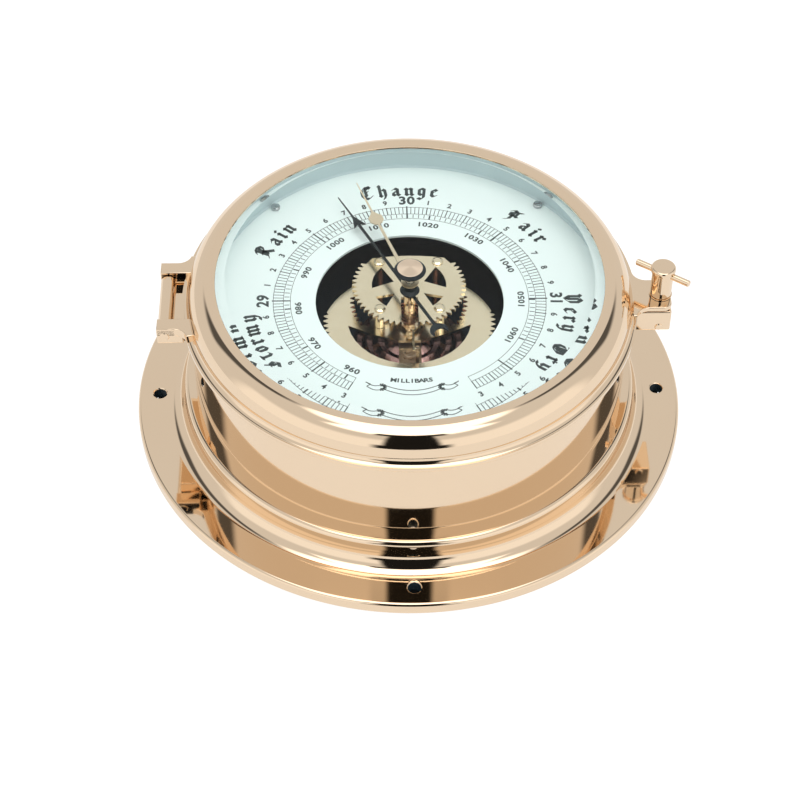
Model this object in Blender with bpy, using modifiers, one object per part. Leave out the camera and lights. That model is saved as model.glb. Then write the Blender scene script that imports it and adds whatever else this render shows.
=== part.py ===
"""Ship barometer: a flanged brass case with a hinged, clamped bezel, a dial with an open centre,
a set hand under the glass and an aneroid movement.

The frame's origin is the centre of the flange's back face. +Z runs out of the bulkhead towards
the glass and +Y is 12 o'clock, so the hinge is on -X and the clamp on +X. The driving sizes
below are in millimetres, and every helper takes millimetres.
"""

import math

import bmesh
import bpy
from mathutils import Matrix

MM = 0.001

# Case: flange, cove, step, drum and the spigot that the bezel fits over.
FLANGE_R = 105.0
FLANGE_T = 4.7
COVE_R = 7.4
STEP_R = 86.4
STEP_Z = 16.6
DRUM_R = 82.0
SHOULDER_Z = 54.0
SPIGOT_R = 79.0
SPIGOT_Z = 57.0
BORE_R = 79.4
COVER_R = 81.0
COVER_Z = 2.6
TRAY_LEDGE_R = 76.0
TRAY_LEDGE_Z = 5.7
TRAY_SCREW_R = 77.2
COVER_SCREW_R = 78.3
DIAL_LEDGE_R = 70.0
DIAL_LEDGE_Z = 51.0
DIAL_RECESS_R = 76.6
FIXING_R = 96.7
FIXING_HOLE_R = 2.5
COUNTERSINK_R = 3.6

# Bezel, its glass and the opening of the glass.
BEZEL_Z = 54.3
BEAD_R = 84.8
BEAD_TOP = 58.0
RING_R = 82.3
RING_TOP = 68.2
RING_ROUND_R = 7.4
OPENING_R = 71.9
LIP_Z = 67.3
GLASS_R = 75.5
GLASS_Z = 63.0
GLASS_T = 4.8
GLASS_RIM_T = 2.4
BEVEL_R = 68.3
BEVEL_FOOT_R = 73.4
GLASS_HOLE_R = 1.6

# Hinge at 9 o'clock: its pin runs along Y.
HINGE_X = -90.5
HINGE_Z = 54.0
HINGE_PIN_R = 1.9
KNUCKLE_R = 2.75
KNUCKLE_HALF = 11.7
EAR_IN = 12.1
EAR_OUT = 17.6
EAR_END_X = -93.3
EAR_LOW_Z = 50.7
TAB_FILLET_R = 5.0

# Clamp at 3 o'clock: a tee-headed screw through the bezel's tab into the case's lug.
CLAMP_X = 93.6
TAB_HALF = 7.5
TAB_END_X = 97.4
TAB_TOP = 56.4
LUG_Z = 44.5
LUG_PIN_Z = 46.4
POST_R = 4.0
POST_CAP_R = 4.6
POST_TOP = 70.6
POST_LOW = 57.1
TEE_Z = 67.2
TEE_R = 1.25
TEE_LENGTH = 22.0
TEE_ANGLE = -34.0
SHANK_R = 2.0

# Dial with its open centre, and the white wall that stands on it.
DIAL_Z = 52.3
DIAL_T = 1.0
DIAL_R = 76.2
WINDOW_R = 35.1
SURROUND_IN = 74.7
SURROUND_TOP = 61.3
DIAL_SCREW_XY = 51.0

# Hands. Angles run clockwise from 12 o'clock.
POINTER_Z = 56.2
POINTER_T = 0.6
POINTER_LENGTH = 58.5
POINTER_TAIL = 26.3
POINTER_ANGLE = -27.0
SET_HAND_Z = 61.4
SET_HAND_T = 0.5
SET_HAND_LENGTH = 58.0
SET_HAND_ANGLE = -19.5
KNOB_TOP = 71.6

# Movement: tray, two bridge plates cut like gear wheels, capsule, lever, sector and arbor.
TRAY_R = 78.8
TRAY_Z = 6.0
TRAY_T = 1.5
LOWER_PLATE_Z = 40.0
UPPER_PLATE_Z = 48.8
PLATE_T = 1.2
GEAR_Y = 10.2
GEAR_TIP_R = 21.5
GEAR_TEETH = 56
TOOTH_H = 1.7
RIM_IN_R = 14.1
LOWER_TIP_R = 32.4
LOWER_TEETH = 80
CRESCENT_Y = 1.1
CRESCENT_R = 23.4
RIVET_X = 11.1
RIVET_Y = 12.5
CAPSULE_R = 22.0
CAPSULE_LOW = 11.0
CAPSULE_MID = 22.5
CAPSULE_TOP = 33.4
STUD_TOP = 36.5
ADJUSTER_R = 2.0
LEVER_Y = -29.0
LEVER_Z = 35.3
LEVER_BAR_Z = 36.8
LEVER_BAR_T = 1.5
LEVER_HALF = 4.2
LINK_Z = 46.3
UPRIGHT_Y = -19.6
SECTOR_Y = -9.0
SECTOR_R = 7.8
SECTOR_Z = 42.2
SECTOR_T = 1.0
PINION_TEETH = 8
GEAR_RATIO = 6.5
CRANK_R = 1.1
ARBOR_PIPE_R = 2.3

GAP = 0.3
RUN = 0.08
BIG = 48
MID = 32
SMALL = 16
TINY = 12


# ---------------------------------------------------------------- scene and materials

def clear_scene():
    for old in list(bpy.data.objects):
        bpy.data.objects.remove(old, do_unlink=True)


def make_collection(name):
    group = bpy.data.collections.new(name)
    bpy.context.scene.collection.children.link(group)
    return group


def make_material(name, colour, roughness, metallic):
    material = bpy.data.materials.new(name)
    material.use_nodes = True
    shader = material.node_tree.nodes["Principled BSDF"]
    shader.inputs["Base Color"].default_value = (*colour, 1.0)
    shader.inputs["Roughness"].default_value = roughness
    shader.inputs["Metallic"].default_value = metallic
    material.diffuse_color = (*colour, 1.0)
    return material


clear_scene()
PARTS = make_collection("ship_barometer")
CUTTERS = make_collection("cutters")
BRASS = make_material("polished_brass", (0.83, 0.66, 0.48), 0.08, 1.0)
PLATE_BRASS = make_material("plate_brass", (0.80, 0.68, 0.43), 0.3, 1.0)
BRONZE = make_material("bronze", (0.42, 0.30, 0.20), 0.35, 1.0)
COPPER = make_material("copper", (0.72, 0.38, 0.26), 0.3, 1.0)
STEEL = make_material("steel", (0.62, 0.62, 0.62), 0.25, 1.0)
BLACK = make_material("black_lacquer", (0.02, 0.02, 0.025), 0.35, 0.0)
DARK_PAINT = make_material("dark_paint", (0.03, 0.045, 0.06), 0.6, 0.0)
DIAL_WHITE = make_material("dial_white", (0.86, 0.93, 0.91), 0.4, 0.0)
GLASS = make_material("glass", (0.92, 0.97, 0.96), 0.02, 0.0)
RUBBER = make_material("gasket_rubber", (0.04, 0.04, 0.04), 0.8, 0.0)


# ---------------------------------------------------------------- modelling helpers

def add_object(name, mesh, material, group=None):
    piece = bpy.data.objects.new(name, mesh)
    (group or PARTS).objects.link(piece)
    if material:
        mesh.materials.clear()
        mesh.materials.append(material)
    return piece


def arc(centre_x, centre_y, radius, start, stop, steps):
    """Points on an arc, from the angle start to the angle stop in degrees."""
    points = []
    for step in range(steps + 1):
        angle = math.radians(start + (stop - start) * step / steps)
        points.append((centre_x + radius * math.cos(angle), centre_y + radius * math.sin(angle)))
    return points


def turned(name, profile, material, at=(0, 0, 0), segments=SMALL, closed=False, group=None):
    """A turned piece: the profile of (radius, height) runs down its outer side, top to bottom."""
    mesh = bpy.data.meshes.new(name)
    points = [(radius * MM, 0, height * MM) for radius, height in profile]
    edges = [(i, i + 1) for i in range(len(points) - 1)]
    if closed:
        edges.append((len(points) - 1, 0))
    mesh.from_pydata(points, edges, [])
    piece = add_object(name, mesh, material, group)
    piece.location = [value * MM for value in at]
    screw = piece.modifiers.new("turn", "SCREW")
    screw.steps = segments
    screw.render_steps = segments
    screw.use_merge_vertices = True
    screw.merge_threshold = 0.00001
    screw.use_smooth_shade = True
    return piece


def cylinder(name, radius, low, high, material, at=(0, 0), segments=SMALL, group=None):
    bpy.ops.mesh.primitive_cylinder_add(
        vertices=segments, radius=radius * MM, depth=(high - low) * MM,
        location=(at[0] * MM, at[1] * MM, (low + high) / 2 * MM))
    return adopt(name, material, group)


def rod(name, radius, start, end, material, segments=SMALL, group=None):
    """A cylinder along X or Y between two points."""
    along_x = abs(end[0] - start[0]) > abs(end[1] - start[1])
    length = max(abs(end[i] - start[i]) for i in range(3))
    middle = [(start[i] + end[i]) / 2 * MM for i in range(3)]
    turn = (0, math.pi / 2, 0) if along_x else (math.pi / 2, 0, 0)
    bpy.ops.mesh.primitive_cylinder_add(
        vertices=segments, radius=radius * MM, depth=length * MM, location=middle, rotation=turn)
    return adopt(name, material, group)


def box(name, low, high, material, group=None):
    middle = [(low[i] + high[i]) / 2 * MM for i in range(3)]
    size = [(high[i] - low[i]) * MM for i in range(3)]
    bpy.ops.mesh.primitive_cube_add(size=1, location=middle)
    piece = adopt(name, material, group)
    piece.scale = size
    bake(piece)
    return piece


def adopt(name, material, group=None):
    """Names the primitive that was just added and moves it to its collection."""
    piece = bpy.context.object
    piece.name = name
    piece.data.name = name
    for holder in list(piece.users_collection):
        holder.objects.unlink(piece)
    (group or PARTS).objects.link(piece)
    if material:
        piece.data.materials.clear()
        piece.data.materials.append(material)
    return piece


def bake(piece):
    """Applies the object's scale to its mesh."""
    piece.data.transform(Matrix.Diagonal((*piece.scale, 1)))
    piece.scale = (1, 1, 1)


def flat(name, loops, low, high, material, group=None):
    """A flat piece between two heights, from an outline and any holes in it."""
    curve = bpy.data.curves.new(name, "CURVE")
    curve.dimensions = "2D"
    curve.fill_mode = "BOTH"
    curve.extrude = (high - low) / 2 * MM
    for loop in loops:
        spline = curve.splines.new("POLY")
        spline.points.add(len(loop) - 1)
        for point, (x, y) in zip(spline.points, loop):
            point.co = (x * MM, y * MM, 0, 1)
        spline.use_cyclic_u = True
    guide = bpy.data.objects.new(name + "_outline", curve)
    CUTTERS.objects.link(guide)
    guide.location = (0, 0, (low + high) / 2 * MM)
    return curve_to_mesh(guide, name, material, group)


def curve_to_mesh(guide, name, material, group=None):
    bpy.context.view_layer.update()
    evaluated = guide.evaluated_get(bpy.context.evaluated_depsgraph_get())
    mesh = bpy.data.meshes.new_from_object(evaluated)
    mesh.name = name
    work = bmesh.new()
    work.from_mesh(mesh)
    bmesh.ops.remove_doubles(work, verts=work.verts, dist=0.000001)
    bmesh.ops.recalc_face_normals(work, faces=work.faces)
    work.to_mesh(mesh)
    work.free()
    piece = add_object(name, mesh, material, group)
    piece.matrix_world = guide.matrix_world
    bpy.data.objects.remove(guide, do_unlink=True)
    return piece


def wire(name, points, radius, material):
    """A round wire along points."""
    curve = bpy.data.curves.new(name, "CURVE")
    curve.dimensions = "3D"
    curve.bevel_depth = radius * MM
    curve.bevel_resolution = 0
    curve.use_fill_caps = True
    spline = curve.splines.new("POLY")
    spline.points.add(len(points) - 1)
    for point, place in zip(spline.points, points):
        point.co = (*[value * MM for value in place], 1)
    guide = bpy.data.objects.new(name + "_path", curve)
    CUTTERS.objects.link(guide)
    return curve_to_mesh(guide, name, material)


def hide_cutter(cutter):
    cutter.hide_render = True
    cutter.display_type = "WIRE"
    return cutter


def boolean(piece, other, operation):
    step = piece.modifiers.new(operation.lower(), "BOOLEAN")
    step.operation = operation
    step.object = other
    step.solver = "EXACT"
    hide_cutter(other)


def cut(piece, *cutters):
    for cutter in cutters:
        boolean(piece, cutter, "DIFFERENCE")


def join(piece, *others):
    for other in others:
        boolean(piece, other, "UNION")


def chamfer(piece, width, angle=40):
    step = piece.modifiers.new("edges", "BEVEL")
    step.width = width * MM
    step.segments = 1
    step.limit_method = "ANGLE"
    step.angle_limit = math.radians(angle)


def circle(x, y, radius, segments=SMALL):
    return arc(x, y, radius, 0, 360 - 360 / segments, segments - 1)


def turned_about_z(points, angle):
    """Flat points turned clockwise by an angle in degrees."""
    turn = math.radians(-angle)
    cos, sin = math.cos(turn), math.sin(turn)
    return [(x * cos - y * sin, x * sin + y * cos) for x, y in points]


def mirrored(points):
    """A flat half outline at +X, completed by its mirror image."""
    return points + [(-x, y) for x, y in reversed(points) if abs(x) > 0.001]


# ---------------------------------------------------------------- case

def case_profile():
    outside = [(SPIGOT_R - 0.4, SPIGOT_Z), (SPIGOT_R, SPIGOT_Z - 0.4), (SPIGOT_R, SHOULDER_Z),
               (DRUM_R - 0.5, SHOULDER_Z), (DRUM_R, SHOULDER_Z - 0.5), (DRUM_R, STEP_Z)]
    outside += arc(STEP_R - 0.9, STEP_Z - 0.9, 0.9, 90, 0, 2)
    outside += arc(STEP_R + COVE_R, FLANGE_T + COVE_R, COVE_R, 180, 270, 4)
    outside += arc(FLANGE_R - 1.3, FLANGE_T - 1.3, 1.3, 90, 0, 2)
    outside += [(FLANGE_R, 0.4), (FLANGE_R - 0.4, 0)]
    inside = [(COVER_R, 0), (COVER_R, COVER_Z), (TRAY_LEDGE_R, COVER_Z),
              (TRAY_LEDGE_R, TRAY_LEDGE_Z), (BORE_R, TRAY_LEDGE_Z), (BORE_R, DIAL_LEDGE_Z - 4),
              (DIAL_LEDGE_R, DIAL_LEDGE_Z - 2), (DIAL_LEDGE_R, DIAL_LEDGE_Z),
              (DIAL_RECESS_R, DIAL_LEDGE_Z), (DIAL_RECESS_R, SPIGOT_Z)]
    return outside + inside


def countersunk_cutter(name, x, y):
    profile = [(0, FLANGE_T + 1), (COUNTERSINK_R + 1, FLANGE_T + 1),
               (FIXING_HOLE_R, FLANGE_T - COUNTERSINK_R + FIXING_HOLE_R),
               (FIXING_HOLE_R, -1), (0, -1)]
    return turned(name, profile, None, at=(x, y, 0), group=CUTTERS)


def build_case():
    case = turned("case_body", case_profile(), BRASS, segments=BIG, closed=True)
    barrel = rod("knuckle_barrel", KNUCKLE_R, (HINGE_X, -KNUCKLE_HALF, HINGE_Z),
                 (HINGE_X, KNUCKLE_HALF, HINGE_Z), None, segments=20, group=CUTTERS)
    web = box("knuckle_web", (HINGE_X - 1.2, -KNUCKLE_HALF, HINGE_Z - 8.5),
              (-DRUM_R + 1.5, KNUCKLE_HALF, HINGE_Z - 1.9), None, group=CUTTERS)
    lug = box("clamp_lug", (DRUM_R - 1.5, -TAB_HALF, LUG_Z), (TAB_END_X, TAB_HALF, SHOULDER_Z),
              None, group=CUTTERS)
    chamfer(lug, 0.5)
    join(case, barrel, web, lug)
    pin_bore = rod("knuckle_bore", HINGE_PIN_R + RUN, (HINGE_X, -20, HINGE_Z),
                   (HINGE_X, 20, HINGE_Z), None, segments=24, group=CUTTERS)
    shank_bore = cylinder("lug_bore", SHANK_R + 0.5, 48.0, 60.0, None, at=(CLAMP_X, 0),
                          group=CUTTERS)
    lug_pin_bore = rod("lug_pin_bore", 1.6, (CLAMP_X - 0.5, -20, LUG_PIN_Z),
                       (CLAMP_X - 0.5, 20, LUG_PIN_Z), None, group=CUTTERS)
    cut(case, pin_bore, shank_bore, lug_pin_bore)
    for index in range(4):
        angle = math.radians(90 * index)
        place = (FIXING_R * math.cos(angle), FIXING_R * math.sin(angle))
        cut(case, countersunk_cutter(f"fixing_hole_{index + 1}", *place))
    for index, place in enumerate(dial_screw_places()):
        cut(case, cylinder(f"dial_screw_bore_{index + 1}", 1.3, 45, 55, None, at=place,
                           segments=TINY, group=CUTTERS))
    for index, place in enumerate(ring_places(TRAY_SCREW_R, 3, 30)):
        cut(case, cylinder(f"tray_screw_bore_{index + 1}", 1.1, 3.4, 8, None, at=place,
                           segments=TINY, group=CUTTERS))
    for index, place in enumerate(ring_places(COVER_SCREW_R, 3, 90)):
        cut(case, cylinder(f"cover_screw_bore_{index + 1}", 1.1, -1, 4.9, None, at=place,
                           segments=TINY, group=CUTTERS))
    rod("clamp_lug_pin", 1.5, (CLAMP_X - 0.5, -TAB_HALF - 0.2, LUG_PIN_Z),
        (CLAMP_X - 0.5, TAB_HALF + 0.2, LUG_PIN_Z), BRASS)


def ring_places(radius, count, first):
    """Places spaced evenly on a circle, the first at an angle in degrees."""
    angles = [math.radians(first + 360 / count * index) for index in range(count)]
    return [(radius * math.cos(angle), radius * math.sin(angle)) for angle in angles]


def dial_screw_places():
    return [(x, y) for x in (-DIAL_SCREW_XY, DIAL_SCREW_XY) for y in (-DIAL_SCREW_XY, DIAL_SCREW_XY)]


def screw_profile(head_r, shank_r, top, seat, tip):
    """A cheese-headed screw that points down, from its head's top to its tip."""
    return [(0, top), (head_r - 0.3, top), (head_r, top - 0.3), (head_r, seat), (shank_r, seat),
            (shank_r, tip), (0, tip)]


def slotted_screw(name, profile, place, material, slot_z, slot_high, angle=0):
    """A screw with a straight driver slot between two heights."""
    screw = turned(name, profile, material, at=(*place, 0), segments=TINY)
    slot = box(name + "_slot", (-4, -0.3, slot_z), (4, 0.3, slot_high), None, group=CUTTERS)
    slot.location.x = place[0] * MM
    slot.location.y = place[1] * MM
    slot.rotation_euler.z = math.radians(angle)
    cut(screw, slot)
    return screw


def build_back():
    cover = turned("back_cover", [(5, 2.3), (COVER_R - 0.4, 2.3), (COVER_R - 0.4, 0.3), (5, 0.3)],
                   DARK_PAINT, segments=BIG, closed=True)
    for index, place in enumerate(ring_places(COVER_SCREW_R, 3, 90)):
        name = f"back_cover_screw_{index + 1}"
        cut(cover, cylinder(name + "_hole", 1.2, -1, 4, None, at=place, segments=TINY,
                            group=CUTTERS))
        cut(cover, cylinder(name + "_sink", 2.2, -1, 1.1, None, at=place, segments=TINY,
                            group=CUTTERS))
        profile = [(0, 4.6), (0.8, 4.6), (0.8, 0.9), (1.9, 0.9), (1.9, 0.2), (0, 0.2)]
        slotted_screw(name, profile, place, STEEL, -1, 0.5)


# ---------------------------------------------------------------- bezel, hinge and glass

def bezel_profile():
    outside = [(OPENING_R, LIP_Z), (RING_R - RING_ROUND_R - 0.3, RING_TOP)]
    outside += arc(RING_R - RING_ROUND_R, RING_TOP - RING_ROUND_R, RING_ROUND_R, 90, 0, 5)
    outside += [(RING_R, 60.0), (RING_R - 0.7, 59.6), (RING_R - 0.7, 58.9), (RING_R + 0.7, BEAD_TOP),
                (BEAD_R - 0.8, BEAD_TOP), (BEAD_R, BEAD_TOP - 0.8), (BEAD_R, BEZEL_Z + 0.8),
                (BEAD_R - 0.8, BEZEL_Z)]
    inside = [(SPIGOT_R + 0.6, BEZEL_Z), (SPIGOT_R + 0.6, 57.9), (77.6, 58.3), (77.6, GLASS_Z - GAP),
              (GLASS_R + 0.9, GLASS_Z - GAP), (GLASS_R + 0.9, LIP_Z - 0.4), (OPENING_R, LIP_Z - 0.4)]
    return outside + inside


def flared_tab(half, straight_x, fillet):
    """Half of a tab's outline at +X, +Y: straight at the half width, then a fillet on the bead."""
    centre_y = half + fillet
    centre_x = math.sqrt((BEAD_R + fillet) ** 2 - centre_y ** 2)
    touch = math.degrees(math.atan2(-centre_y, -centre_x))
    points = [(straight_x, half)] + arc(centre_x, centre_y, fillet, -90, touch, 5)
    root_x, root_y = points[-1]
    inner = (BEAD_R - 3.5) / BEAD_R
    return points + [(root_x * inner, root_y * inner)]


def build_bezel():
    bezel = turned("bezel_ring", bezel_profile(), BRASS, segments=BIG, closed=True)
    flare = flared_tab(EAR_OUT, -EAR_END_X, TAB_FILLET_R)
    inner_x = math.sqrt((BEAD_R - 2.5) ** 2 - EAR_IN ** 2)
    for side, label in ((1, "far"), (-1, "near")):
        outline = [(-x, side * y) for x, y in flare]
        outline += [(-inner_x, side * EAR_IN), (EAR_END_X, side * EAR_IN)]
        ear = flat("ear_" + label, [outline], BEZEL_Z + 0.2, BEAD_TOP, None, group=CUTTERS)
        low = min(side * EAR_IN, side * EAR_OUT)
        foot = box("ear_foot_" + label, (EAR_END_X, low, EAR_LOW_Z),
                   (-DRUM_R - 1.6, low + EAR_OUT - EAR_IN, BEAD_TOP - 1.0), None, group=CUTTERS)
        join(bezel, ear, foot)
    half = flared_tab(TAB_HALF, TAB_END_X - 3, TAB_FILLET_R)
    end = arc(TAB_END_X - 3, TAB_HALF - 3, 3, 0, 90, 3)
    outline = end + half[1:]
    outline += [(x, -y) for x, y in reversed(outline)]
    join(bezel, flat("clamp_tab", [outline], BEZEL_Z + 0.1, TAB_TOP, None, group=CUTTERS))
    pin_bore = rod("ear_bore", HINGE_PIN_R + RUN, (HINGE_X, -20, HINGE_Z), (HINGE_X, 20, HINGE_Z),
                   None, segments=24, group=CUTTERS)
    tab_bore = cylinder("tab_bore", SHANK_R + RUN, 50, 60, None, at=(CLAMP_X, 0), group=CUTTERS)
    cut(bezel, pin_bore, tab_bore)
    rod("hinge_pin", HINGE_PIN_R, (HINGE_X, -EAR_OUT - 0.2, HINGE_Z),
        (HINGE_X, EAR_OUT + 0.2, HINGE_Z), BRASS, segments=24)


def build_glass():
    top = GLASS_Z + GLASS_T
    rim = GLASS_Z + GLASS_RIM_T
    profile = [(GLASS_HOLE_R, top), (BEVEL_R, top), (BEVEL_FOOT_R, rim), (GLASS_R, rim),
               (GLASS_R, GLASS_Z), (GLASS_HOLE_R, GLASS_Z)]
    turned("glass", profile, GLASS, segments=BIG, closed=True)
    turned("glass_gasket", [(GLASS_R + 0.15, rim + 0.4), (GLASS_R + 0.7, rim + 0.4),
                            (GLASS_R + 0.7, GLASS_Z), (GLASS_R + 0.15, GLASS_Z)],
           RUBBER, segments=BIG, closed=True)
    turned("glass_retaining_ring", [(GLASS_R - 0.6, 62.4), (77.3, 62.4), (77.3, 61.7),
                                    (GLASS_R - 0.6, 61.7)], BRASS, segments=BIG, closed=True)


# ---------------------------------------------------------------- clamp

def build_clamp():
    turned("clamp_washer", [(SHANK_R + RUN, POST_LOW - 0.15), (POST_R + 0.3, POST_LOW - 0.15),
                            (POST_R + 0.3, TAB_TOP + 0.15), (SHANK_R + RUN, TAB_TOP + 0.15)],
           BRASS, at=(CLAMP_X, 0, 0), segments=24, closed=True)
    cap = arc(POST_CAP_R - 0.8, POST_TOP - 0.8, 0.8, 80, 0, 2)
    profile = [(0, POST_TOP)] + cap
    profile += [(POST_CAP_R, POST_TOP - 2.2), (POST_R, POST_TOP - 2.6), (POST_R, POST_LOW + 0.4),
                (POST_R - 0.4, POST_LOW), (SHANK_R, POST_LOW), (SHANK_R, 49.0), (SHANK_R - 0.5, 48.5),
                (0, 48.5)]
    post = turned("clamp_screw", profile, BRASS, at=(CLAMP_X, 0, 0), segments=24)
    turn = math.radians(TEE_ANGLE)
    bore = rod("tee_bore", TEE_R + RUN, (-9, 0, 0), (9, 0, 0), None, segments=TINY, group=CUTTERS)
    bar = rod("clamp_tee_bar", TEE_R, (-TEE_LENGTH / 2, 0, 0), (TEE_LENGTH / 2, 0, 0), BRASS,
              segments=TINY)
    chamfer(bar, 0.25)
    for piece in (bore, bar):
        piece.location = (CLAMP_X * MM, 0, TEE_Z * MM)
        piece.rotation_euler = (0, math.pi / 2, turn)
    cut(post, bore)


# ---------------------------------------------------------------- dial

def build_dial():
    under = DIAL_Z - DIAL_T
    dial = turned("dial_plate", [(WINDOW_R, DIAL_Z), (DIAL_R, DIAL_Z), (DIAL_R, under),
                                 (WINDOW_R, under)], DIAL_WHITE, segments=BIG, closed=True)
    for index, place in enumerate(dial_screw_places()):
        name = f"dial_screw_{index + 1}"
        cut(dial, cylinder(name + "_hole", 1.3, 45, 55, None, at=place, segments=TINY,
                           group=CUTTERS))
        profile = screw_profile(1.8, 1.0, DIAL_Z + 1.3, DIAL_Z + 0.2, 48.8)
        slotted_screw(name, profile, place, STEEL, DIAL_Z + 0.9, DIAL_Z + 3, angle=35 + 50 * index)
    turned("dial_surround", [(SURROUND_IN, SURROUND_TOP), (DIAL_R, SURROUND_TOP),
                             (DIAL_R, DIAL_Z + GAP), (SURROUND_IN, DIAL_Z + GAP)],
           DIAL_WHITE, segments=BIG, closed=True)


# ---------------------------------------------------------------- hands

def pointer_outline():
    """A slim hand with barbs below its tip and a crescent at its tail, pointing to +Y."""
    half = [(0.12, POINTER_LENGTH), (0.28, 46.0), (2.4, 40.2), (0.5, 41.4), (0.55, 3.6)]
    half += arc(0, 0, 2.9, 68, -68, 6) + [(0.55, -3.6), (0.55, 7.6 - POINTER_TAIL)]
    crescent = arc(0, 3.6 - POINTER_TAIL, 3.4, 75, -35, 6)
    notch = arc(0, 1.8 - POINTER_TAIL, 2.6, 5, 90, 4)
    return mirrored(half + crescent + notch)


def set_hand_outline():
    """A slim hand with a spade below its tip and a rounded tail."""
    half = [(0.1, SET_HAND_LENGTH), (0.35, 40.6), (1.4, 38.9), (2.7, 37.5), (2.7, 35.1),
            (1.5, 33.7), (0.45, 33.2), (0.75, 4.0)]
    return mirrored(half + arc(0, 0, 3.4, 70, -90, 5))


def build_pointer():
    outline = turned_about_z(pointer_outline(), POINTER_ANGLE)
    pointer = flat("pointer", [outline, circle(0, 0, 1.5)], POINTER_Z, POINTER_Z + POINTER_T, BLACK)
    turned("pointer_collet", [(0, 58.6), (0.9, 58.5), (2.6, 58.0), (3.6, 57.5), (4.2, 57.1),
                              (1.3, 57.1), (1.3, 55.5), (0.85, 55.5), (0.85, 57.2), (0, 57.2)],
           BLACK, segments=24)
    return pointer


def build_set_hand():
    outline = turned_about_z(set_hand_outline(), SET_HAND_ANGLE)
    flat("set_hand", [outline, circle(0, 0, 1.75)], SET_HAND_Z, SET_HAND_Z + SET_HAND_T, PLATE_BRASS)
    top = GLASS_Z + GLASS_T
    turned("set_hand_knob", [(0, KNOB_TOP), (4.7, KNOB_TOP - 0.5), (5.0, KNOB_TOP - 0.8),
                             (6.0, KNOB_TOP - 1.7), (5.8, KNOB_TOP - 2.2), (3.7, KNOB_TOP - 2.4),
                             (3.7, top + 0.2), (1.6, top + 0.2), (1.6, 68.5), (0, 68.5)],
           BRASS, segments=24)
    turned("set_hand_spindle", [(0, 68.3), (1.52, 68.3), (1.52, 60.9), (2.6, 60.9), (2.6, 60.4),
                                (0, 60.4)], STEEL)


# ---------------------------------------------------------------- movement

def toothed_arc(centre_y, tip_r, height, teeth, first, last):
    """Points of a run of wheel teeth between two angles, with roots a little wider than tips."""
    pitch = 360 / teeth
    points = []
    count = int((last - first) / pitch)
    for index in range(count):
        start = first + index * pitch
        for share, radius in ((0.0, tip_r - height), (0.32, tip_r), (0.55, tip_r), (0.87, tip_r - height)):
            angle = math.radians(start + share * pitch)
            points.append((radius * math.cos(angle), centre_y + radius * math.sin(angle)))
    return points


def fan(first, last, inner_r, outer_r, steps=4):
    """A fan-shaped hole in the upper plate, with its apex cut short."""
    middle = math.radians((first + last) / 2)
    apex = (inner_r * math.cos(middle), GEAR_Y + inner_r * math.sin(middle))
    return arc(0, GEAR_Y, outer_r, first, last, steps) + [apex]


def build_upper_plate():
    slot_half = 3.2
    slot_root = 3.6
    teeth = toothed_arc(GEAR_Y, GEAR_TIP_R, TOOTH_H, GEAR_TEETH, 281, 403)
    right = [(slot_half, slot_root), (slot_half, GEAR_Y - GEAR_TIP_R + 1.8)] + teeth
    top = arc(0, 26.1 - 75, 75, 79.5, 90, 3)
    outline = mirrored(right + top)
    fans = []
    for first, last, inner_r in ((-6, 43, 6.0), (-52, -26, 7.0)):
        hole = fan(first, last, inner_r, RIM_IN_R)
        fans += [hole, [(-x, y) for x, y in reversed(hole)]]
    rivets = [circle(x, GEAR_Y + y, 1.5, TINY) for x in (-RIVET_X, RIVET_X)
              for y in (-RIVET_Y, RIVET_Y)]
    flat("upper_bridge_plate", [outline] + fans + rivets, UPPER_PLATE_Z, UPPER_PLATE_Z + PLATE_T,
         PLATE_BRASS)


def build_lower_plate():
    """A toothed crescent with a forked tongue that carries the arbor's foot bearing."""
    root_r = LOWER_TIP_R - TOOTH_H
    horn_r = 33.4
    horn_y = -7.2
    outer = arc(0, 0, root_r, -90, -25, 6)
    outer += toothed_arc(0, LOWER_TIP_R, TOOTH_H, LOWER_TEETH, -24, 8)
    outer += arc(0, horn_y, horn_r, 21, 50, 5)
    hole_teeth = toothed_arc(GEAR_Y, GEAR_TIP_R + 0.9, TOOTH_H, GEAR_TEETH, -36, 10)
    horn_tip = arc(0, GEAR_Y, GEAR_TIP_R + 0.3, 28, 12, 2)
    inner = horn_tip + list(reversed(hole_teeth))
    tongue = [(15.4, -3.2), (14.6, 0.5), (10.0, 3.6), (3.0, 3.6)]
    outline = mirrored(outer + inner + tongue)
    arms = [(23.0, -2.3), (15.0, -6.6), (4.8, -10.4)]
    crescent = arc(0, CRESCENT_Y, CRESCENT_R, -9.6, -90, 8)
    opening = mirrored(crescent[::-1] + arms)
    holes = [circle(0, 0, 0.6 + RUN, TINY), circle(0, SECTOR_Y, 0.55 + RUN, TINY)]
    flat("lower_bridge_plate", [outline, opening] + holes, LOWER_PLATE_Z, LOWER_PLATE_Z + PLATE_T,
         PLATE_BRASS)


def build_pillars():
    plate_top = LOWER_PLATE_Z + PLATE_T
    tray_top = TRAY_Z + TRAY_T
    index = 0
    for y, foot in ((-RIVET_Y, plate_top), (RIVET_Y, tray_top)):
        for x in (-RIVET_X, RIVET_X):
            index += 1
            head = UPPER_PLATE_Z + PLATE_T + 0.1
            profile = [(0, head + 0.75), (1.4, head + 0.65), (2.1, head + 0.3), (2.2, head),
                       (1.3, head), (1.3, UPPER_PLATE_Z - 0.1), (1.9, UPPER_PLATE_Z - 0.1),
                       (1.9, foot + 0.2), (0, foot + 0.2)]
            turned(f"bridge_pillar_{index}", profile, PLATE_BRASS, at=(x, GEAR_Y + y, 0),
                   segments=TINY)
    for index, place in enumerate(((-22, -15.5), (22, -15.5), (-26.5, 2.5), (26.5, 2.5))):
        cylinder(f"plate_pillar_{index + 1}", 2.0, tray_top + 0.2, LOWER_PLATE_Z - 0.2, PLATE_BRASS,
                 at=place, segments=TINY)


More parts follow.
